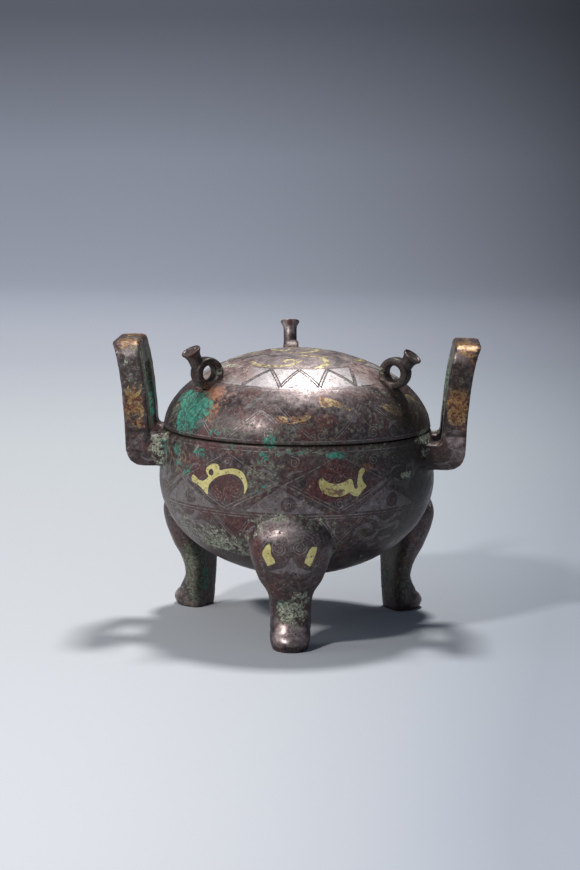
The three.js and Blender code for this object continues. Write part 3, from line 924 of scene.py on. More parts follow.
# Outlines in millimetres about a lozenge's middle: a scroll with two round lobes, and a crescent with a hook
SCROLL_OVER = [
    (-20.2, 4.5), (-20.5, 1.8), (-15.4, -0.1), (-10.5, -3.4), (-10.2, -1.5), (-9.5, 1.1), (-7.6, 3.3), (-5.0,
                                                                                                        5.2),
    (-2.1,
     6.3), (1.2, 7.1), (4.0, 7.0), (6.3, 6.0), (7.9, 4.5), (8.8, 2.7), (9.1, 0.7), (8.9, -1.5), (9.7, -0.5),
    (10.5, 1.6), (10.5, 3.7), (9.8, 5.6), (8.9, 7.4), (7.1, 8.9), (4.8, 9.6), (2.0, 9.6), (-0.7, 9.1), (-3.9,
                                                                                                        8.3),
    (-4.1, 9.7), (-5.1, 10.8), (-7.1, 11.0), (-9.3, 10.2), (-11.2, 9.0), (-11.8, 7.5), (-11.0, 6.0), (-10.1,
                                                                                                      4.9),
    (-11.1, 3.7), (-13.3, 2.6), (-16.0, 2.7), (-17.9, 3.9),
]
SCROLL_UNDER = [
    (-9.4, 5.6), (-9.3, 3.6), (-8.6, 1.6), (-7.2, 0.0), (-5.2, -1.2), (-2.2, -1.9), (0.6, -1.9), (2.8, -1.2),
    (4.6, -0.4), (5.8, -1.1), (7.0, -1.9), (8.7, -2.2), (10.0, -1.4), (11.4, 0.4), (13.4, 2.0), (12.2, 3.7),
    (11.4, 5.1), (11.3, 6.6), (12.4, 8.4), (12.9, 9.4), (11.4, 10.4), (9.7, 9.0), (9.3, 6.9), (8.8, 5.0),
    (8.7, 3.4), (9.0, 2.0), (8.2, 1.1), (7.2, 1.8), (6.8, 3.2), (6.3, 5.2), (5.2, 5.9), (3.0, 4.9), (0.6, 4.1),
    (-1.9, 3.9), (-4.3, 4.4), (-6.4, 5.4), (-7.9, 6.6),
]
LOZENGES, LOZENGE_TURN, LOZENGE_Z = 8, -116.8, 72.8
GAP = 2 * math.pi * BELLY_R / LOZENGES
BORDER_Z = 62.2
LID_LOZENGE_TURN, LID_ARC_R = -105.4, 60


def lozenge_azimuth(k):
    """The lozenge right of the middle stands a little further round than an eighth of a turn."""
    return LOZENGE_TURN + 360 / LOZENGES * k + (1.2 if k == 1 else 0)


def frieze(gold, silver, thin):
    """Lozenges with scrolls round the bowl, silver triangles between them, and bands above and below."""
    for k in range(LOZENGES):
        place = on_bowl(lozenge_azimuth(k))
        corner = GAP / 2 - 0.8
        ends = [(0, BORDER_Z + 1.4), (corner, 76.4), (0, 89.4), (-corner, 76.4)]
        for a, b in zip(ends, ends[1:] + ends[:1]):
            thin.ribbon(between(a, b, 4), 0.42, place, False, smooth=False)
        inner = [(0, BORDER_Z + 3.0), (corner - 3, 76.4), (0, 87.8), (-corner + 3, 76.4)]
        for a, b in ((0, 1), (3, 0)):
            thin.ribbon(between(inner[a], inner[b], 4), 0.36, place, False, smooth=False)
        has_gold = k not in (2, 7)
        if k % 2 == 0:
            (gold if has_gold else silver).fill([(u, v + LOZENGE_Z) for u, v in SCROLL_OVER], place,
                                                [ellipse((-8.7, LOZENGE_Z + 6.9), (1.5, 1.5), 12)])
            thin.ribbon(spiral((-4.7, 69.9), 2.9, 1.7, 200), 0.42, place)
            thin.ribbon(spiral((4.4, 72.4), 2.9, 1.7, -20, -1), 0.42, place)
            thin.ribbon(spiral((0.2, 85.6), 2.2, 1.5, -60), 0.36, place)
            thin.ribbon([(-1.5, 66.6), (-0.4, 69.3), (0.4, 71.5)], 0.4, place)
        else:
            (gold if has_gold else silver).fill([(u, v + LOZENGE_Z) for u, v in SCROLL_UNDER], place)
            thin.ribbon(spiral((0.2, 67.4), 2.5, 1.7, 60), 0.42, place)
            for u, v, size, start, hand in ((-5.4, 80.0, 2.4, 150, 1), (-1.2, 83.4, 2.3, 60, -1),
                                            (3.6, 80.6, 2.4, -30, 1),
                                            (-0.6, 78.6, 1.9, 220, -1), (-4.0, 84.6, 1.5, 100,
                                                                         1), (3.0, 84.6, 1.5, 20, -1)):
                thin.ribbon(spiral((u, v), size, 1.4, start, hand), 0.4, place)
        for start, end in (((15.4, 71.4), (24.6, 77.6)), ((18.2, 69.4), (28.2, 76.2))):
            silver.ribbon(between(start, end, 4), 1.5, place, False, smooth=False)
        place = on_bowl(LOZENGE_TURN + (k + 0.5) * 360 / LOZENGES)
        silver.fill([(0.5, 74.4), (20.6, 63.6), (12.0, 63.4), (0, 63.3), (-12, 63.4), (-16.2, 63.6),
                     (-9.0, 69.0)], place,
                    [ellipse((4.0, 67.4), (3.6, 3.4), 22)], smooth=False)
        thin.ribbon(spiral((3.8, 67.2), 2.2, 1.2, 120), 0.34, place)
        for u, hand in ((-6.5, 1), (6.5, -1)):
            thin.ribbon(spiral((u, 86.4), 2.4, 1.6, 90, hand, 2.0), 0.4, place)
            silver.ribbon([(u * 0.4, 79.6), (u * 0.85, 82.0), (u * 1.6, 82.6)], [0.3, 1.3, 0.3], place)
    around = on_bowl(0)
    for level, width in ((BORDER_Z, 0.5), (BORDER_Z - 1.3, 0.4), (90.9, 0.45)):
        circle = [(u, level) for u in np.linspace(0, 2 * math.pi * BELLY_R, 420)]
        thin.ribbon(circle, width, around, False, 0.97, False, True)


def lower_belly(silver, thin):
    """Hanging triangles and cloud scrolls under the frieze."""
    for k in range(LOZENGES):
        place = on_bowl(lozenge_azimuth(k))
        for inset, width in ((0, 0.45), (1.5, 0.35)):
            tip = 47.8 + inset * 1.6
            thin.ribbon(between((-7.9 + inset, 60.2), (1.7, tip), 4), width, place, False, smooth=False)
            thin.ribbon(between((1.7, tip), (12.4 - inset, 60.2), 4), width, place, False, smooth=False)
        for line, width in (
            ([(14.6, 59.8), (17.5, 60.3), (21.5, 58.6), (24.6, 56.2), (28.5, 57.4), (33.0, 60.0),
              (36.0, 59.6)],
             [0.4, 1.5, 1.2, 2.2, 1.4, 1.6, 0.4]),
            ([(9.6, 51.0), (11.0, 54.6), (14.8, 56.2), (18.4, 55.4), (18.8, 53.4), (16.4, 53.2)],
             [0.4, 1.4, 2.0, 1.3, 1.0, 0.3]),
            ([(24.0, 53.0), (26.6, 54.4), (30.8, 54.8), (35.2, 55.6), (36.8, 53.4), (34.6, 52.0)],
             [0.4, 1.8, 1.6, 1.8, 1.2, 0.3]),
            ([(14.2, 50.2), (18.6, 49.0), (22.4, 50.4), (23.4, 52.8), (21.2, 53.6)],
             [0.4, 1.7, 1.9, 1.2, 0.3]),
            ([(25.4, 49.8), (29.2, 48.2), (33.0, 49.0), (36.2, 48.4)], [0.3, 1.6, 1.2, 0.3]),
            ([(20.4, 46.8), (23.8, 45.2), (27.8, 46.0)], [0.3, 1.4, 0.3]),
        ):
            silver.ribbon(line, [1.35 * w for w in width], place)


def leg_face(gold, silver, thin):
    """Two spirals for eyes, gold bars beside them and a wedge between, on each leg's thigh."""
    left = [(-9.0, 50.8), (-10.4, 49.8), (-12.2, 46.9), (-12.2, 44.9), (-9.8, 40.1), (-6.4, 41.9),
            (-6.5, 43.0), (-8.4, 46.2),
            (-8.4, 49.5)]
    right = [(10.1, 49.6), (8.7, 48.1), (7.0, 43.9), (6.7, 42.2), (9.2, 40.1), (11.8, 46.6), (12.2, 49.2)]
    nose = [(0.9, 45.0), (2.6, 42.0), (4.2, 39.8), (7.2, 38.7), (9.8, 37.9), (7.0, 36.6), (3.6, 36.8),
            (1.6, 37.8), (0.3, 36.6),
            (-1.0, 37.6), (-3.0, 37.0), (-6.0, 36.8), (-8.8, 37.7), (-5.6, 38.9), (-2.4, 39.9), (-0.6, 42.2)]
    for turn in LEG_ANGLES:
        place = on_leg(turn)
        gold.fill(left, place, spacing=1.2, step=0.6, smooth=False)
        gold.fill(right, place, spacing=1.2, step=0.6, smooth=False)
        thin.ribbon(spiral((-4.6, 48.7), 3.6, 2.3, 100), 0.44, place)
        thin.ribbon(spiral((4.5, 49.4), 3.6, 2.3, 80, -1), 0.44, place)
        silver.fill(nose, place, spacing=1.2, step=0.6)
        for size in (0, 1.5, 3.0):
            arc = [(1.4, 54.2 + size * 0.5), (5.4, 54.0 + size), (9.6, 52.4 + size),
                   (12.2 + size * 0.5, 48.8 + size)]
            thin.ribbon(arc, 0.34, place)
            thin.ribbon([(-u, v) for u, v in arc], 0.34, place)
        thin.ribbon(spiral((-12.6, 41.4), 1.6, 1.3, 0), 0.34, place)
        thin.ribbon(spiral((12.0, 41.0), 1.6, 1.3, 180, -1), 0.34, place)


def ear_scrolls(gold, silver, thin):
    """Rubbed gold curls half way up each face of the ears, spirals above and below, gold arcs on top."""
    for side in ("left", "right"):
        for face in ("near", "far"):
            place = on_ear(side, face)
            gold.ribbon([(71.4, 115.6), (72.6, 111.6), (75.6, 109.6), (78.2, 111.8), (77.4, 114.8)],
                        [0.4, 1.6, 2.0, 1.6, 0.5], place)
            gold.ribbon([(77.8, 108.0), (75.8, 105.4), (72.0, 105.0), (71.2, 101.4), (73.4, 98.4)],
                        [0.5, 1.7, 2.1, 1.7, 0.5], place)
            gold.ribbon([(77.2, 103.6), (78.0, 100.2), (75.8, 98.2)], [0.4, 1.5, 0.4], place)
            for u, v, size, turns, start, hand in ((75.2, 101.6, 1.7, 1.2, 40, 1),
                                                   (76.6, 119.6, 1.5, 1.4, 0, -1),
                                                   (73.6, 123.4, 1.5, 1.4, 160, 1), (77.6, 126.0, 1.3, 1.2, 0,
                                                                                     1),
                                                   (72.6, 88.4, 1.6, 1.4, 90, 1), (71.4, 92.6, 1.3, 1.2, 0,
                                                                                   -1)):
                thin.ribbon(spiral((u, v), size, turns, start, hand), 0.36, place)
            silver.ribbon([(64.6, 80.4), (68.0, 80.0), (71.6, 81.4)], [0.4, 1.2, 0.4], place)
            silver.ribbon([(70.4, 95.2), (74.0, 95.8), (77.6, 95.4)], [0.4, 0.8, 0.4], place)
        place = on_ear(side, "outer")
        for hand in (-1, 1):
            y = 16.6 * hand
            for low in (86.0, 101.0, 115.5):
                gold.ribbon([(y - 3.4, low), (y, low + 2.8), (y + 2.8, low + 6.2), (y + 0.6, low + 9.6),
                             (y - 2.8, low + 9.0)],
                            [0.4, 1.5, 1.9, 1.4, 0.4], place)
                thin.ribbon(spiral((y + 2.6, low + 1.6), 1.5, 1.4, 90), 0.34, place)
                thin.ribbon(spiral((y - 2.6, low + 12.4), 1.4, 1.4, 0), 0.34, place)
        for y in (-7.0, 0.0, 7.0):
            silver.ribbon([(y - 3.0, 128.4), (y, 130.6), (y + 3.0, 128.8)], [0.3, 1.4, 0.3], place)
        place = on_ear(side, "top")
        for y in (-12.0, -4.0, 4.0, 12.0):
            gold.ribbon([(76.2, y - 2.8), (79.6, y - 1.2), (80.4, y + 1.4), (77.4, y + 2.8)],
                        [0.3, 1.4, 1.4, 0.3], place)


def medallion(gold, silver, thin):
    """Gold arcs, silver strokes and spirals in the middle of the lid, and the two thin circles that bound the ring."""
    for turn in (0, 120, 240):
        place = on_dome(turn)
        gold.ribbon([(-22.7, -16.1), (-20.2, -22.6), (-13.9, -27.1), (-6.4, -28.6), (-2.6, -26.7),
                     (0.4, -23.7)],
                    [1.8, 2.1, 2.0, 1.9, 1.6, 0.5], place)
        gold.ribbon([(-2.0, -25.6), (-4.4, -22.4), (-7.6, -23.2), (-7.0, -25.2)], [1.4, 1.8, 1.5, 0.5], place)
        gold.ribbon([(-2.2, -17.9), (1.8, -17.2), (5.9, -17.3), (10.0, -19.2), (12.0, -24.4), (8.9, -29.6),
                     (5.1, -31.6)],
                    [0.8, 1.5, 1.8, 2.4, 3.0, 2.2, 0.6], place)
        gold.ribbon([(9.6, -18.8), (13.5, -14.7)], [1.6, 0.7], place)
        gold.ribbon([(-5.3, -11.3), (0.4, -12.6), (6.5, -9.2), (9.4, -3.4), (6.6, -1.4), (3.4, -3.0)],
                    [0.7, 1.7, 1.9, 2.0, 1.6, 0.5], place)
        silver.ribbon([(-16.0, -9.0), (-12.4, -14.6), (-5.6, -15.6), (-3.0, -20.4), (-9.6, -20.6)],
                      [0.5, 2.6, 2.2, 2.4, 0.5], place)
        silver.ribbon([(14.4, -27.0), (17.6, -22.0), (18.4, -16.0), (16.0, -10.6)], [0.5, 2.8, 2.6, 0.5],
                      place)
        silver.ribbon([(-26.5, -12.0), (-25.6, -6.0), (-22.0, -1.6)], [0.5, 2.2, 0.5], place)
        thin.ribbon(spiral((-14.0, -21.8), 2.6, 1.5, 30), 0.5, place)
        thin.ribbon(spiral((3.6, -24.6), 2.8, 1.5, 200, -1), 0.5, place)
    place = on_dome()
    for radius, width in ((32.3, 0.5), (47.3, 0.5)):
        circle = [(radius * math.cos(a), radius * math.sin(a)) for a in np.linspace(0, 2 * math.pi, 241)]
        thin.ribbon(circle, width, place, False, 1.2, False, True)


ZIGZAGS, ZIGZAG_TURN, RING_IN, RING_OUT = 16, -92.5, 33.2, 46.4


def zigzag_ring(silver, niello):
    """The silver ring as tiles, with the double dark lines left between them."""
    place = on_dome()
    half = 180 / ZIGZAGS
    polar = lambda radius, degrees: (radius * math.cos(math.radians(degrees)),
                                     radius * math.sin(math.radians(degrees)))
    for k in range(2 * ZIGZAGS):
        apex = ZIGZAG_TURN + half * k
        points_in = k % 2 == 0
        tip, base = (RING_IN, RING_OUT) if points_in else (RING_OUT, RING_IN)
        tip += 1.6 if points_in else -1.6
        spare = 0.9 if points_in else 1.3
        corners = [polar(tip, apex), polar(base, apex + half - spare), polar(base, apex),
                   polar(base, apex - half + spare)]
        if not points_in:
            corners = corners[::-1]
        silver.fill(corners, place, spacing=1.5, smooth=False)
        a, b = polar(RING_IN + 0.4, apex), polar(RING_OUT - 0.4, apex + half)
        if not points_in:
            a, b = polar(RING_OUT - 0.4, apex), polar(RING_IN + 0.4, apex + half)
        for side in (-1, 1):
            across = np.array([b[1] - a[1], a[0] - b[0]]) / math.hypot(b[0] - a[0], b[1] - a[1]) * 0.62 * side
            niello.ribbon(between(np.array(a) + across, np.array(b) + across, 3), 0.62, place, False, 1.2,
                          False)


def lid_band(gold, silver, thin):
    """Leaves, lozenge lines and spirals on the lid's lower slope."""
    leaf = [(6.5, -50.8), (9.5, -50.6), (13.8, -51.0), (20.6, -53.0), (18.0, -53.9), (12.7, -53.9),
            (8.6, -55.0), (6.6, -54.3)]
    streak = [(-13.4, -56.8), (-9.8, -57.8), (-5.9, -58.7), (-1.8, -58.3), (2.2, -58.0), (1.3, -59.4),
              (-2.8, -60.0),
              (-7.3, -60.0), (-10.3, -59.0)]
    high = [(48.1, -24.9), (50.7, -20.2), (54.1, -19.2), (51.1, -24.5)]
    low = [(35.6, -43.5), (40.7, -39.0), (46.6, -35.7), (45.8, -38.9), (41.3, -42.7), (37.4, -44.2)]
    for turn in (0, 150, 190):
        place = on_dome(turn)
        for shape in (leaf, streak, high, low):
            gold.fill(shape, place, spacing=1.3, step=0.7)
        silver.fill([(16.9, -54.0), (19.7, -53.5), (22.8, -54.3), (22.7, -56.0), (19.9, -56.7),
                     (17.3, -55.7)], place, spacing=1.3)
        for shift in (0, 1.3):
            thin.ribbon([(-21.8 + shift, -52.5 - shift * 0.3), (-14.5 + shift, -58.5 - shift * 0.2)], 0.42,
                        place, False)
    for k in range(LOZENGES):
        place = on_lid_side(LID_LOZENGE_TURN + 360 / LOZENGES * k)
        thin.ribbon(spiral((0, 98.6), 2.6, 1.8, 40), 0.42, place)
        thin.ribbon(spiral((-24.8, 98.4), 2.3, 1.5, 120, -1), 0.36, place)
        for start, end in (((-20, 96.6), (-3.5, 110.8)), ((3.5, 110.8), (20, 96.6))):
            thin.ribbon(between(start, end, 5), 0.36, place, False, smooth=False)
            offset = 1.7 if start[0] < 0 else -1.7
            thin.ribbon(between((start[0] + offset, start[1]), (end[0] + offset, end[1]), 5), 0.36, place,
                        False, smooth=False)
        silver.ribbon([(8.6, 99.4), (11.4, 101.8), (15.2, 102.4)], [0.3, 1.7, 0.3], place)
        silver.ribbon([(-14.4, 108.4), (-11.6, 110.0), (-8.4, 109.4)], [0.3, 1.6, 0.3], place)
    around = on_lid_side(0)
    thin.ribbon([(u, 95.6) for u in np.linspace(0, 2 * math.pi * LID_ARC_R, 400)], 0.4, around, False, 0.95, False,
                True)


# Corrosion, polish and painted light and shade, laid on as attributes

KINDS = ("mal", "crust", "red", "rust", "polish_and_painted_highlight", "soot_and_painted_shade", "moss", "gilt", "tarnish")


def rotated_place(patch, turn):
    angle = math.radians(turn)
    x, y, z, across, along, strength = patch
    return (x * math.cos(angle) - y * math.sin(angle), x * math.sin(angle) + y * math.cos(angle), z, across,
            along, strength)


def all_patches(kind):
    """The patches as the photograph shows them, and weaker ones like them on the sides that it hides."""
    for patch in PATCHES[kind]:
        yield patch
        x, y, z, across, along, strength = patch
        if abs(x) > 64 and abs(y) < 30:
            yield (-x, -y, z, across, along, strength * 0.85)
        else:
            for turn in (120, 240):
                copy = rotated_place((x, y, z, across * 1.1, along * 1.1, strength * 0.8), turn)
                if copy[1] > 12:
                    yield copy


def lay_corrosion(obj, tree):
    """Gives each point of a piece how much of each kind of corrosion, polish, painted highlight and painted shade lies
    there.
    """
    points = points_of(obj.data) - AXIS
    for kind in KINDS:
        amount = np.zeros(len(points))
        for x, y, z, across, along, strength in all_patches(kind):
            centre = np.array([x, y, z])
            near = np.where(np.abs(points - centre).max(1) < 1.6 * max(across, along) + 2)[0]
            if not len(near):
                continue
            hit, facing, _, gap = tree.find_nearest(Vector((centre + AXIS) * MM))
            if gap > 3 * MM:
                continue
            normal = np.array(facing)
            level = np.cross([0, 0, 1.0], normal)
            level = level / np.linalg.norm(level) if np.linalg.norm(level) > 0.1 else np.array([1.0, 0, 0])
            rising = np.cross(normal, level)
            away = points[near] - centre
            reach = np.sqrt((away @ level / across) ** 2 + (away @ rising / along) ** 2
                            + (away @ normal / (3 + 0.6 * max(across, along))) ** 2)
            amount[near] = np.maximum(amount[near], strength * smooth_step(1.5 - reach))
        # Painted shade: a dark band along the seam, where the gap between vessel and lid lies in shadow.
        if kind == "soot_and_painted_shade":
            amount = np.maximum(amount, 1.1 * np.exp(-(((points[:, 2] - SEAM - 0.15) / 0.95) ** 2)))
        attribute = obj.data.attributes.new(kind, "FLOAT", "POINT")
        attribute.data.foreach_set("value", amount.astype(np.float32))


def raise_crust(obj):
    """Thick corrosion stands up from the metal as small lumps."""
    points, normals = points_of(obj.data), normals_of(obj.data)
    amount = np.zeros(len(points), np.float32)
    height = np.zeros(len(points))
    for kind, lift in (("crust", 0.42), ("mal", 0.3), ("rust", 0.16)):
        obj.data.attributes[kind].data.foreach_get("value", amount)
        where = np.where(amount > 0.25)[0]
        lumps = 0.5 + 0.5 * fbm(points[where], 2.6, 3, 5.0)
        height[where] += lift * smooth_step((amount[where] - 0.25) * 1.6) * np.clip(lumps, 0, 1.2)
    level = points[:, 2]
    height *= smooth_step(np.abs(level - (SEAM + 0.15)) / 1.6 - 0.5)
    set_points(obj.data, points + normals * height[:, None])


# Materials

class Graph:
    """A material built from nodes, in the object's own millimetres."""

    def __init__(self, name):
        self.material = bpy.data.materials.new(name)
        self.material.use_nodes = True
        self.tree = self.material.node_tree
        self.shader = self.tree.nodes["Principled BSDF"]
        self.place = self.tree.nodes.new("ShaderNodeTexCoord").outputs["Object"]

    def put(self, socket, value):
        if isinstance(value, bpy.types.NodeSocket):
            self.tree.links.new(value, socket)
        else:
            socket.default_value = value

    def node(self, kind, **values):
        made = self.tree.nodes.new(kind)
        for key, value in values.items():
            setattr(made, key, value)
        return made

    def noise(self, size, detail=4.0, rough=0.55, shift=0.0, distort=0.0):
        made = self.node("ShaderNodeTexNoise", noise_dimensions="4D")
        self.put(made.inputs["Vector"], self.place)
        for name, value in (("W", shift), ("Scale", 1 / (size * MM)), ("Detail", detail),
                            ("Roughness", rough),
                            ("Distortion", distort)):
            made.inputs[name].default_value = value
        return made.outputs["Fac"]

    def attribute(self, name):
        return self.node("ShaderNodeAttribute", attribute_name=name).outputs["Fac"]

    def math(self, operation, *values, clamp=False):
        made = self.node("ShaderNodeMath", operation=operation, use_clamp=clamp)
        for socket, value in zip(made.inputs, values):
            self.put(socket, value)
        return made.outputs[0]

    def step(self, value, low, high, out_low=0.0, out_high=1.0):
        made = self.node("ShaderNodeMapRange", interpolation_type="SMOOTHSTEP")
        for name, amount in (("Value", value), ("From Min", low), ("From Max", high), ("To Min", out_low),
                             ("To Max", out_high)):
            self.put(made.inputs[name], amount)
        return made.outputs["Result"]

    def mix(self, share, below, above):
        """Colours mixed; a colour is three numbers or a socket."""
        made = self.node("ShaderNodeMix", data_type="RGBA")
        self.put(made.inputs[0], share)
        for socket, value in ((made.inputs[6], below), (made.inputs[7], above)):
            self.put(socket, (*value, 1.0) if isinstance(value, tuple) else value)
        return made.outputs[2]

    def mix_value(self, share, below, above):
        made = self.node("ShaderNodeMix", data_type="FLOAT")
        for socket, value in ((made.inputs[0], share), (made.inputs[2], below), (made.inputs[3], above)):
            self.put(socket, value)
        return made.outputs[0]


def aged_metal(name, base, metallic, rough, bronze=False, worn=0.0, hold=1.0):
    """Metal under three thousand years of patina, with painted highlights and painted shade where the attributes put
    them.

    base holds a dark, a middle and a light colour; worn is how much of it has come away to the bronze;
    hold is how far the corrosion and the painted shade cover it.
    """
    g = Graph(name)
    broad, middle, fine = g.noise(26, 3, 0.5, 1.0), g.noise(8, 5, 0.62, 2.0, 0.7), g.noise(2.6, 6, 0.68, 3.0,
                                                                                           0.3)
    grain, specks = g.noise(0.75, 3, 0.65, 4.0), g.noise(1.5, 5, 0.72, 5.0)
    streaks, flecks = g.noise(4.5, 6, 0.7, 6.0, 1.6), g.noise(1.05, 4, 0.75, 7.0, 0.6)
    colour = g.mix(g.step(broad, 0.36, 0.62), base[0], base[1])
    colour = g.mix(g.step(fine, 0.40, 0.70, 0.0, 0.85), colour, base[2])
    metal, shine = metallic, g.step(middle, 0.3, 0.7, rough - 0.07, rough + 0.1)

    def cover(share, tint, dull, metal_left):
        nonlocal colour, metal, shine
        colour = g.mix(share, colour, tint)
        metal = g.mix_value(share, metal, metal_left)
        shine = g.mix_value(share, shine, dull)

    def patch(kind, spread, low, high, most=1.0):
        """Where a kind of corrosion lies, with edges broken up by noise at three scales."""
        broken = g.math("MULTIPLY",
                        g.math("SUBTRACT", g.math("ADD", fine, g.math("ADD", specks, streaks)), 1.5), spread)
        return g.step(g.math("ADD", g.math("MULTIPLY", g.attribute(kind), hold), broken), low, high, 0.0,
                      most)

    if worn:
        gone = g.step(g.math("ADD", g.math("MULTIPLY", streaks, 0.5), g.math("MULTIPLY", specks, 0.5)),
                      0.63 - worn, 0.70 - worn)
        cover(g.math("MULTIPLY", gone, 0.85), g.mix(middle, (0.050, 0.032, 0.030), (0.105, 0.050, 0.042)),
              0.45, 0.4)
    if bronze:
        cover(g.step(middle, 0.46, 0.64, 0.0, 0.8),
              g.mix(g.step(specks, 0.4, 0.6), (0.055, 0.020, 0.018), (0.145, 0.058, 0.050)), 0.44, 0.4)
        # Polished metal, its colour lightened as a painted highlight where the patches put it.
        polish_and_highlight_share = g.math("ADD", g.attribute("polish_and_painted_highlight"), g.math("MULTIPLY", g.math("SUBTRACT", fine, 0.5), 1.2))
        cover(g.step(polish_and_highlight_share, 0.25, 0.95, 0.0, 0.88),
              g.mix(g.step(streaks, 0.35, 0.65), (0.185, 0.130, 0.127), (0.50, 0.415, 0.400)), 0.35, 0.55)
        cover(g.step(flecks, 0.55, 0.68, 0.0, 0.6), g.mix(specks, (0.11, 0.085, 0.080), (0.26, 0.23, 0.215)),
              0.5, 0.3)
        cover(g.step(flecks, 0.47, 0.36, 0.0, 0.55), (0.022, 0.015, 0.014), 0.5, 0.3)
    moss = patch("moss", 2.1, 0.50, 0.95, 0.85)
    cover(moss, g.mix(g.step(flecks, 0.38, 0.64), (0.034, 0.036, 0.025), (0.20, 0.225, 0.155)), 0.75, 0.05)
    red = patch("red", 1.6, 0.36, 0.84, 0.9)
    cover(red, g.mix(g.step(specks, 0.36, 0.62), (0.036, 0.013, 0.013), (0.135, 0.038, 0.036)), 0.48, 0.35)
    rust = patch("rust", 2.9, 0.45, 1.05, 0.8)
    cover(rust, g.mix(g.step(flecks, 0.36, 0.64), (0.085, 0.028, 0.018), (0.42, 0.160, 0.065)), 0.7, 0.0)
    gilt = patch("gilt", 2.2, 0.45, 0.90, 0.85)
    cover(gilt, g.mix(g.step(specks, 0.42, 0.62), (0.125, 0.030, 0.018), (0.42, 0.25, 0.080)), 0.42, 0.5)
    tarnish = patch("tarnish", 1.3, 0.20, 0.90, 0.9)
    cover(tarnish, g.mix(g.step(streaks, 0.38, 0.62), (0.19, 0.115, 0.105), (0.43, 0.310, 0.285)), 0.42, 0.5)
    dust = g.step(g.math("ADD", specks, g.math("MULTIPLY", broad, 0.4)), 0.74, 0.90, 0.0,
                  0.75 if bronze else 0.45)
    cover(dust, g.mix(g.step(grain, 0.4, 0.65), (0.045, 0.070, 0.052), (0.18, 0.21, 0.160)), 0.8, 0.0)
    # Soot on the knobs, and painted shade: the same dark brown on the shaded right side and along the seam.
    soot_and_painted_shade = g.step(g.math("MULTIPLY", g.attribute("soot_and_painted_shade"), hold), 0.0, 1.0, 0.0, 0.92)
    cover(soot_and_painted_shade, g.mix(g.step(flecks, 0.45, 0.70), (0.012, 0.008, 0.005), (0.072, 0.045, 0.029)), 0.5, 0.25)
    mal = patch("mal", 1.9, 0.40, 0.80, 0.92)
    green = g.mix(g.step(streaks, 0.40, 0.60), (0.012, 0.055, 0.036), (0.022, 0.215, 0.150))
    cover(mal, g.mix(g.step(flecks, 0.52, 0.70), green, (0.14, 0.36, 0.27)), 0.75, 0.0)
    crust = patch("crust", 2.4, 0.46, 0.92, 0.95)
    pale = g.mix(g.step(flecks, 0.36, 0.62), (0.040, 0.042, 0.028), (0.48, 0.50, 0.38))
    cover(crust, g.mix(g.step(streaks, 0.54, 0.68), pale, (0.080, 0.050, 0.028)), 0.9, 0.0)
    pits = g.step(g.noise(1.2, 2, 0.5, 9.0), 0.28, 0.38)
    colour = g.mix(g.math("SUBTRACT", 1.0, pits), colour, (0.018, 0.014, 0.012))
    g.put(g.shader.inputs["Base Color"], colour)
    g.put(g.shader.inputs["Metallic"], metal)
    g.put(g.shader.inputs["Roughness"], shine)
    lumps = g.math("ADD", g.math("MULTIPLY", crust, g.math("MULTIPLY", specks, 1.6)),
                   g.math("MULTIPLY", mal, specks))
    height = g.math("ADD", g.math("ADD", g.math("MULTIPLY", fine, 0.35), g.math("MULTIPLY", pits, 0.25)),
                    lumps)
    bump = g.node("ShaderNodeBump")
    bump.inputs["Strength"].default_value = 0.35 if bronze else 0.22
    bump.inputs["Distance"].default_value = 0.35 * MM
    g.put(bump.inputs["Height"], height)
    g.put(g.shader.inputs["Normal"], bump.outputs["Normal"])
    return g.material


# The pieces

vessel = build_vessel()
lid = build_lid()
for piece in (vessel, lid):
    tree = tree_of(piece)
    lay_corrosion(piece, tree)
    raise_crust(piece)
vessel_tree, lid_tree = tree_of(vessel), tree_of(lid)

vessel_gold, vessel_silver = Inlay("vessel_gold"), Inlay("vessel_silver")
vessel_rubbed = Inlay("vessel_rubbed")
vessel_lines = Inlay("vessel_lines", 0.04)
lid_gold, lid_silver, lid_lines = Inlay("lid_gold"), Inlay("lid_silver"), Inlay("lid_lines", 0.04)
lid_ring, lid_niello, lid_rubbed = Inlay("lid_ring"), Inlay("lid_niello", 0.08), Inlay("lid_rubbed")
frieze(vessel_gold, vessel_silver, vessel_lines)
lower_belly(vessel_silver, vessel_lines)
leg_face(vessel_gold, vessel_silver, vessel_lines)
ear_scrolls(vessel_rubbed, vessel_silver, vessel_lines)
medallion(lid_gold, lid_silver, lid_lines)
zigzag_ring(lid_ring, lid_niello)
lid_band(lid_rubbed, lid_silver, lid_lines)

bronze = aged_metal("patinated_bronze", ((0.032, 0.023, 0.023), (0.075, 0.050, 0.051), (0.165, 0.130, 0.128)),
                    0.62, 0.38, bronze=True)
gold = aged_metal("gold_inlay", ((0.44, 0.36, 0.12), (0.62, 0.54, 0.21), (0.74, 0.68, 0.34)), 0.55, 0.42,
                  worn=0.075, hold=0.55)
rubbed_gold = aged_metal("rubbed_gold", ((0.36, 0.29, 0.13), (0.52, 0.45, 0.23), (0.70, 0.64, 0.40)), 0.50,
                         0.42, worn=0.14, hold=0.8)
faded_gold = aged_metal("faded_gold", ((0.22, 0.10, 0.045), (0.40, 0.27, 0.12), (0.68, 0.58, 0.31)), 0.45,
                        0.44, worn=0.165, hold=0.9)
silver = aged_metal("silver_inlay", ((0.105, 0.086, 0.088), (0.165, 0.140, 0.141), (0.255, 0.226, 0.224)),
                    0.62, 0.40, worn=0.12, hold=0.6)
lines = aged_metal("silver_line", ((0.13, 0.103, 0.100), (0.20, 0.170, 0.166), (0.32, 0.285, 0.28)), 0.50,
                   0.42, worn=0.155, hold=0.75)
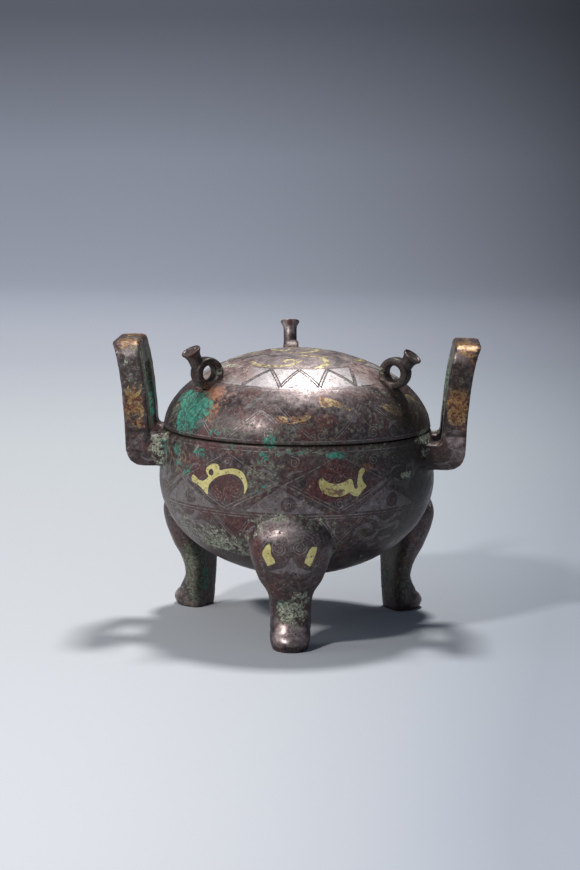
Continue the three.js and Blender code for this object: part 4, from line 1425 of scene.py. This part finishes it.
ring_silver = aged_metal("polished_silver", ((0.26, 0.225, 0.226), (0.37, 0.332, 0.332),
                                             (0.49, 0.455, 0.452)), 0.48, 0.46, worn=0.07, hold=0.9)
niello = aged_metal("dark_line", ((0.050, 0.042, 0.042), (0.085, 0.071, 0.071), (0.14, 0.12, 0.118)), 0.15,
                    0.66, worn=0.04)
for piece in (vessel, lid):
    piece.data.materials.clear()
    piece.data.materials.append(bronze)
for inlay, tree, material, slot in (
    (vessel_gold, vessel_tree, gold, "gold_inlay"), (vessel_silver, vessel_tree, silver, "silver_inlay"),
    (vessel_lines, vessel_tree, lines, "silver_inlay"), (lid_gold, lid_tree, rubbed_gold, "gold_inlay"),
    (lid_silver, lid_tree, silver, "silver_inlay"), (lid_ring, lid_tree, ring_silver,
                                                     "silver_inlay"), (lid_lines, lid_tree, lines,
                                                                       "silver_inlay"),
    (lid_niello, lid_tree, niello, "lid"), (vessel_rubbed, vessel_tree, faded_gold, "gold_inlay"),
    (lid_rubbed, lid_tree, faded_gold, "gold_inlay"),
):
    piece = inlay.build()
    lay_corrosion(piece, tree)
    piece.data.materials.append(material)
    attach(piece, "root")
for piece, node in ((vessel, "vessel"), (lid, "lid")):
    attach(piece, "root")
    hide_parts(node)


# Studio

# Tones of the paper by distance, darkening as painted shade where less light falls: level under the object, then up the
# curve behind it.
PAPER_PAINTED_FALLOFF = [
    (0.02, (0.49, 0.50, 0.525)), (0.20, (0.40, 0.42, 0.435)), (0.32, (0.31, 0.325, 0.36)),
    (0.47, (0.30, 0.318, 0.368)), (0.67, (0.234, 0.252, 0.296)), (0.79, (0.10, 0.108, 0.132)),
]


def area_light(name, place, size, power, colour, target=(0, 0.004, 0.07)):
    data = bpy.data.lights.new(name, "AREA")
    data.shape = "RECTANGLE"
    data.size, data.size_y = size
    data.energy = power
    data.color = colour
    light = bpy.data.objects.new(name, data)
    light.location = place
    light.rotation_euler = (Vector(target) - Vector(place)).to_track_quat("-Z", "Y").to_euler()
    bpy.context.scene.collection.objects.link(light)


def paper_with_painted_shade():
    """Pale paper with painted shade: darker up the curve behind the object and towards its right, where less light
    falls.
    """
    g = Graph("paper_with_painted_shade")
    parts = g.node("ShaderNodeSeparateXYZ")
    g.put(parts.inputs[0], g.place)
    way_back = g.math("DIVIDE", g.math("ADD", g.math("ADD", parts.outputs["Y"], parts.outputs["Z"]), 0.4),
                      4.6)

    made = g.node("ShaderNodeValToRGB")
    g.put(made.inputs[0], way_back)
    elements = made.color_ramp.elements
    for k, (position, colour) in enumerate(PAPER_PAINTED_FALLOFF):
        element = elements[0] if k == 0 else elements.new(position)
        element.position, element.color = position, (*colour, 1)
    elements.remove(elements[-1])
    reach = g.math("ADD", g.math("MAXIMUM", parts.outputs["Y"], -0.3), 1.03)
    share = g.math("DIVIDE", g.math("ADD", g.math("DIVIDE", parts.outputs["X"], reach), 0.114), 0.232,
                   clamp=True)
    share = g.math("POWER", share, 2.1)
    # A cool tint on the painted shade towards the right.
    painted_shade_tint = g.node("ShaderNodeMix", data_type="RGBA", blend_type="MULTIPLY")
    g.put(painted_shade_tint.inputs[0], g.math("MULTIPLY", share, g.math("SUBTRACT", 1.0, way_back), clamp=True))
    g.put(painted_shade_tint.inputs[6], made.outputs[0])
    g.put(painted_shade_tint.inputs[7], (0.94, 1.0, 1.09, 1.0))
    # Painted shade: towards the right the paper darkens to black, more so further back.
    depth = g.math("ADD", g.math("MULTIPLY", g.math("MINIMUM", way_back, 0.85), 0.70), 0.30)
    g.put(g.shader.inputs["Base Color"],
          g.mix(g.math("MULTIPLY", share, depth), painted_shade_tint.outputs[2], (0.0, 0.0, 0.0)))
    g.shader.inputs["Roughness"].default_value = 0.9
    return g.material


def studio_sweep():
    """A seamless sheet: level under the object, then curving up far behind it."""
    half, near, flat, radius, height = 3.2, -2.2, 1.9, 1.3, 2.6
    line = [(near, 0.0)] + [(y, 0.0) for y in np.linspace(near, flat, 30)[1:]]
    line += [(flat + radius * math.sin(a), radius * (1 - math.cos(a))) for a in np.linspace(0, math.pi / 2,
                                                                                            24)[1:]]
    line += [(flat + radius, height)]
    verts, faces = [], []
    for y, z in line:
        verts += [(-half / MM, y / MM, z / MM), (half / MM, y / MM, z / MM)]
    for i in range(len(line) - 1):
        faces.append([2 * i, 2 * i + 1, 2 * i + 3, 2 * i + 2])
    sweep = new_object("studio_sweep", verts, faces)
    sweep.data.shade_smooth()
    sweep.data.materials.append(paper_with_painted_shade())


def photo_camera():
    """The photograph's viewpoint: 8.5 degrees above level, a long lens from about one metre."""
    data = bpy.data.cameras.new("camera")
    data.lens = 91.03
    data.sensor_width = 36
    data.dof.use_dof = False
    camera = bpy.data.objects.new("camera", data)
    turn, pitch, roll = math.radians(2.49), math.radians(8.5), math.radians(0.49)
    forward = Vector((-math.sin(turn) * math.cos(pitch), math.cos(turn) * math.cos(pitch), -math.sin(pitch)))
    right = Vector((math.cos(turn), math.sin(turn), 0))
    up = right.cross(forward)
    view = Matrix((right, up, -forward)).transposed()
    view = Matrix.Rotation(-roll, 3, forward) @ view
    camera.matrix_world = Matrix.Translation(Vector((0.0415, -1.0274, 0.2435))) @ view.to_4x4()
    bpy.context.scene.collection.objects.link(camera)
    bpy.context.scene.camera = camera


studio_sweep()
photo_camera()
area_light("overhead", (0.10, 0.66, 2.0), (0.27, 0.27), 41.0, (1.0, 0.99, 0.98))
area_light("key", (-0.74, -0.84, 1.0), (0.14, 0.14), 13.5, (1.0, 0.985, 0.965))
area_light("left_side", (-1.15, -0.25, 0.55), (0.6, 0.6), 3.0, (0.98, 0.99, 1.0))
area_light("backdrop", (-0.9, 1.1, 1.5), (1.4, 0.5), 27.0, (0.97, 0.98, 1.0), (-0.2, 3.1, 0.35))
world = bpy.data.worlds.new("studio")
world.use_nodes = True
world.node_tree.nodes["Background"].inputs["Color"].default_value = (0.53, 0.66, 0.88, 1)
world.node_tree.nodes["Background"].inputs["Strength"].default_value = 0.20
bpy.context.scene.world = world
bpy.context.scene.view_settings.view_transform = "Standard"
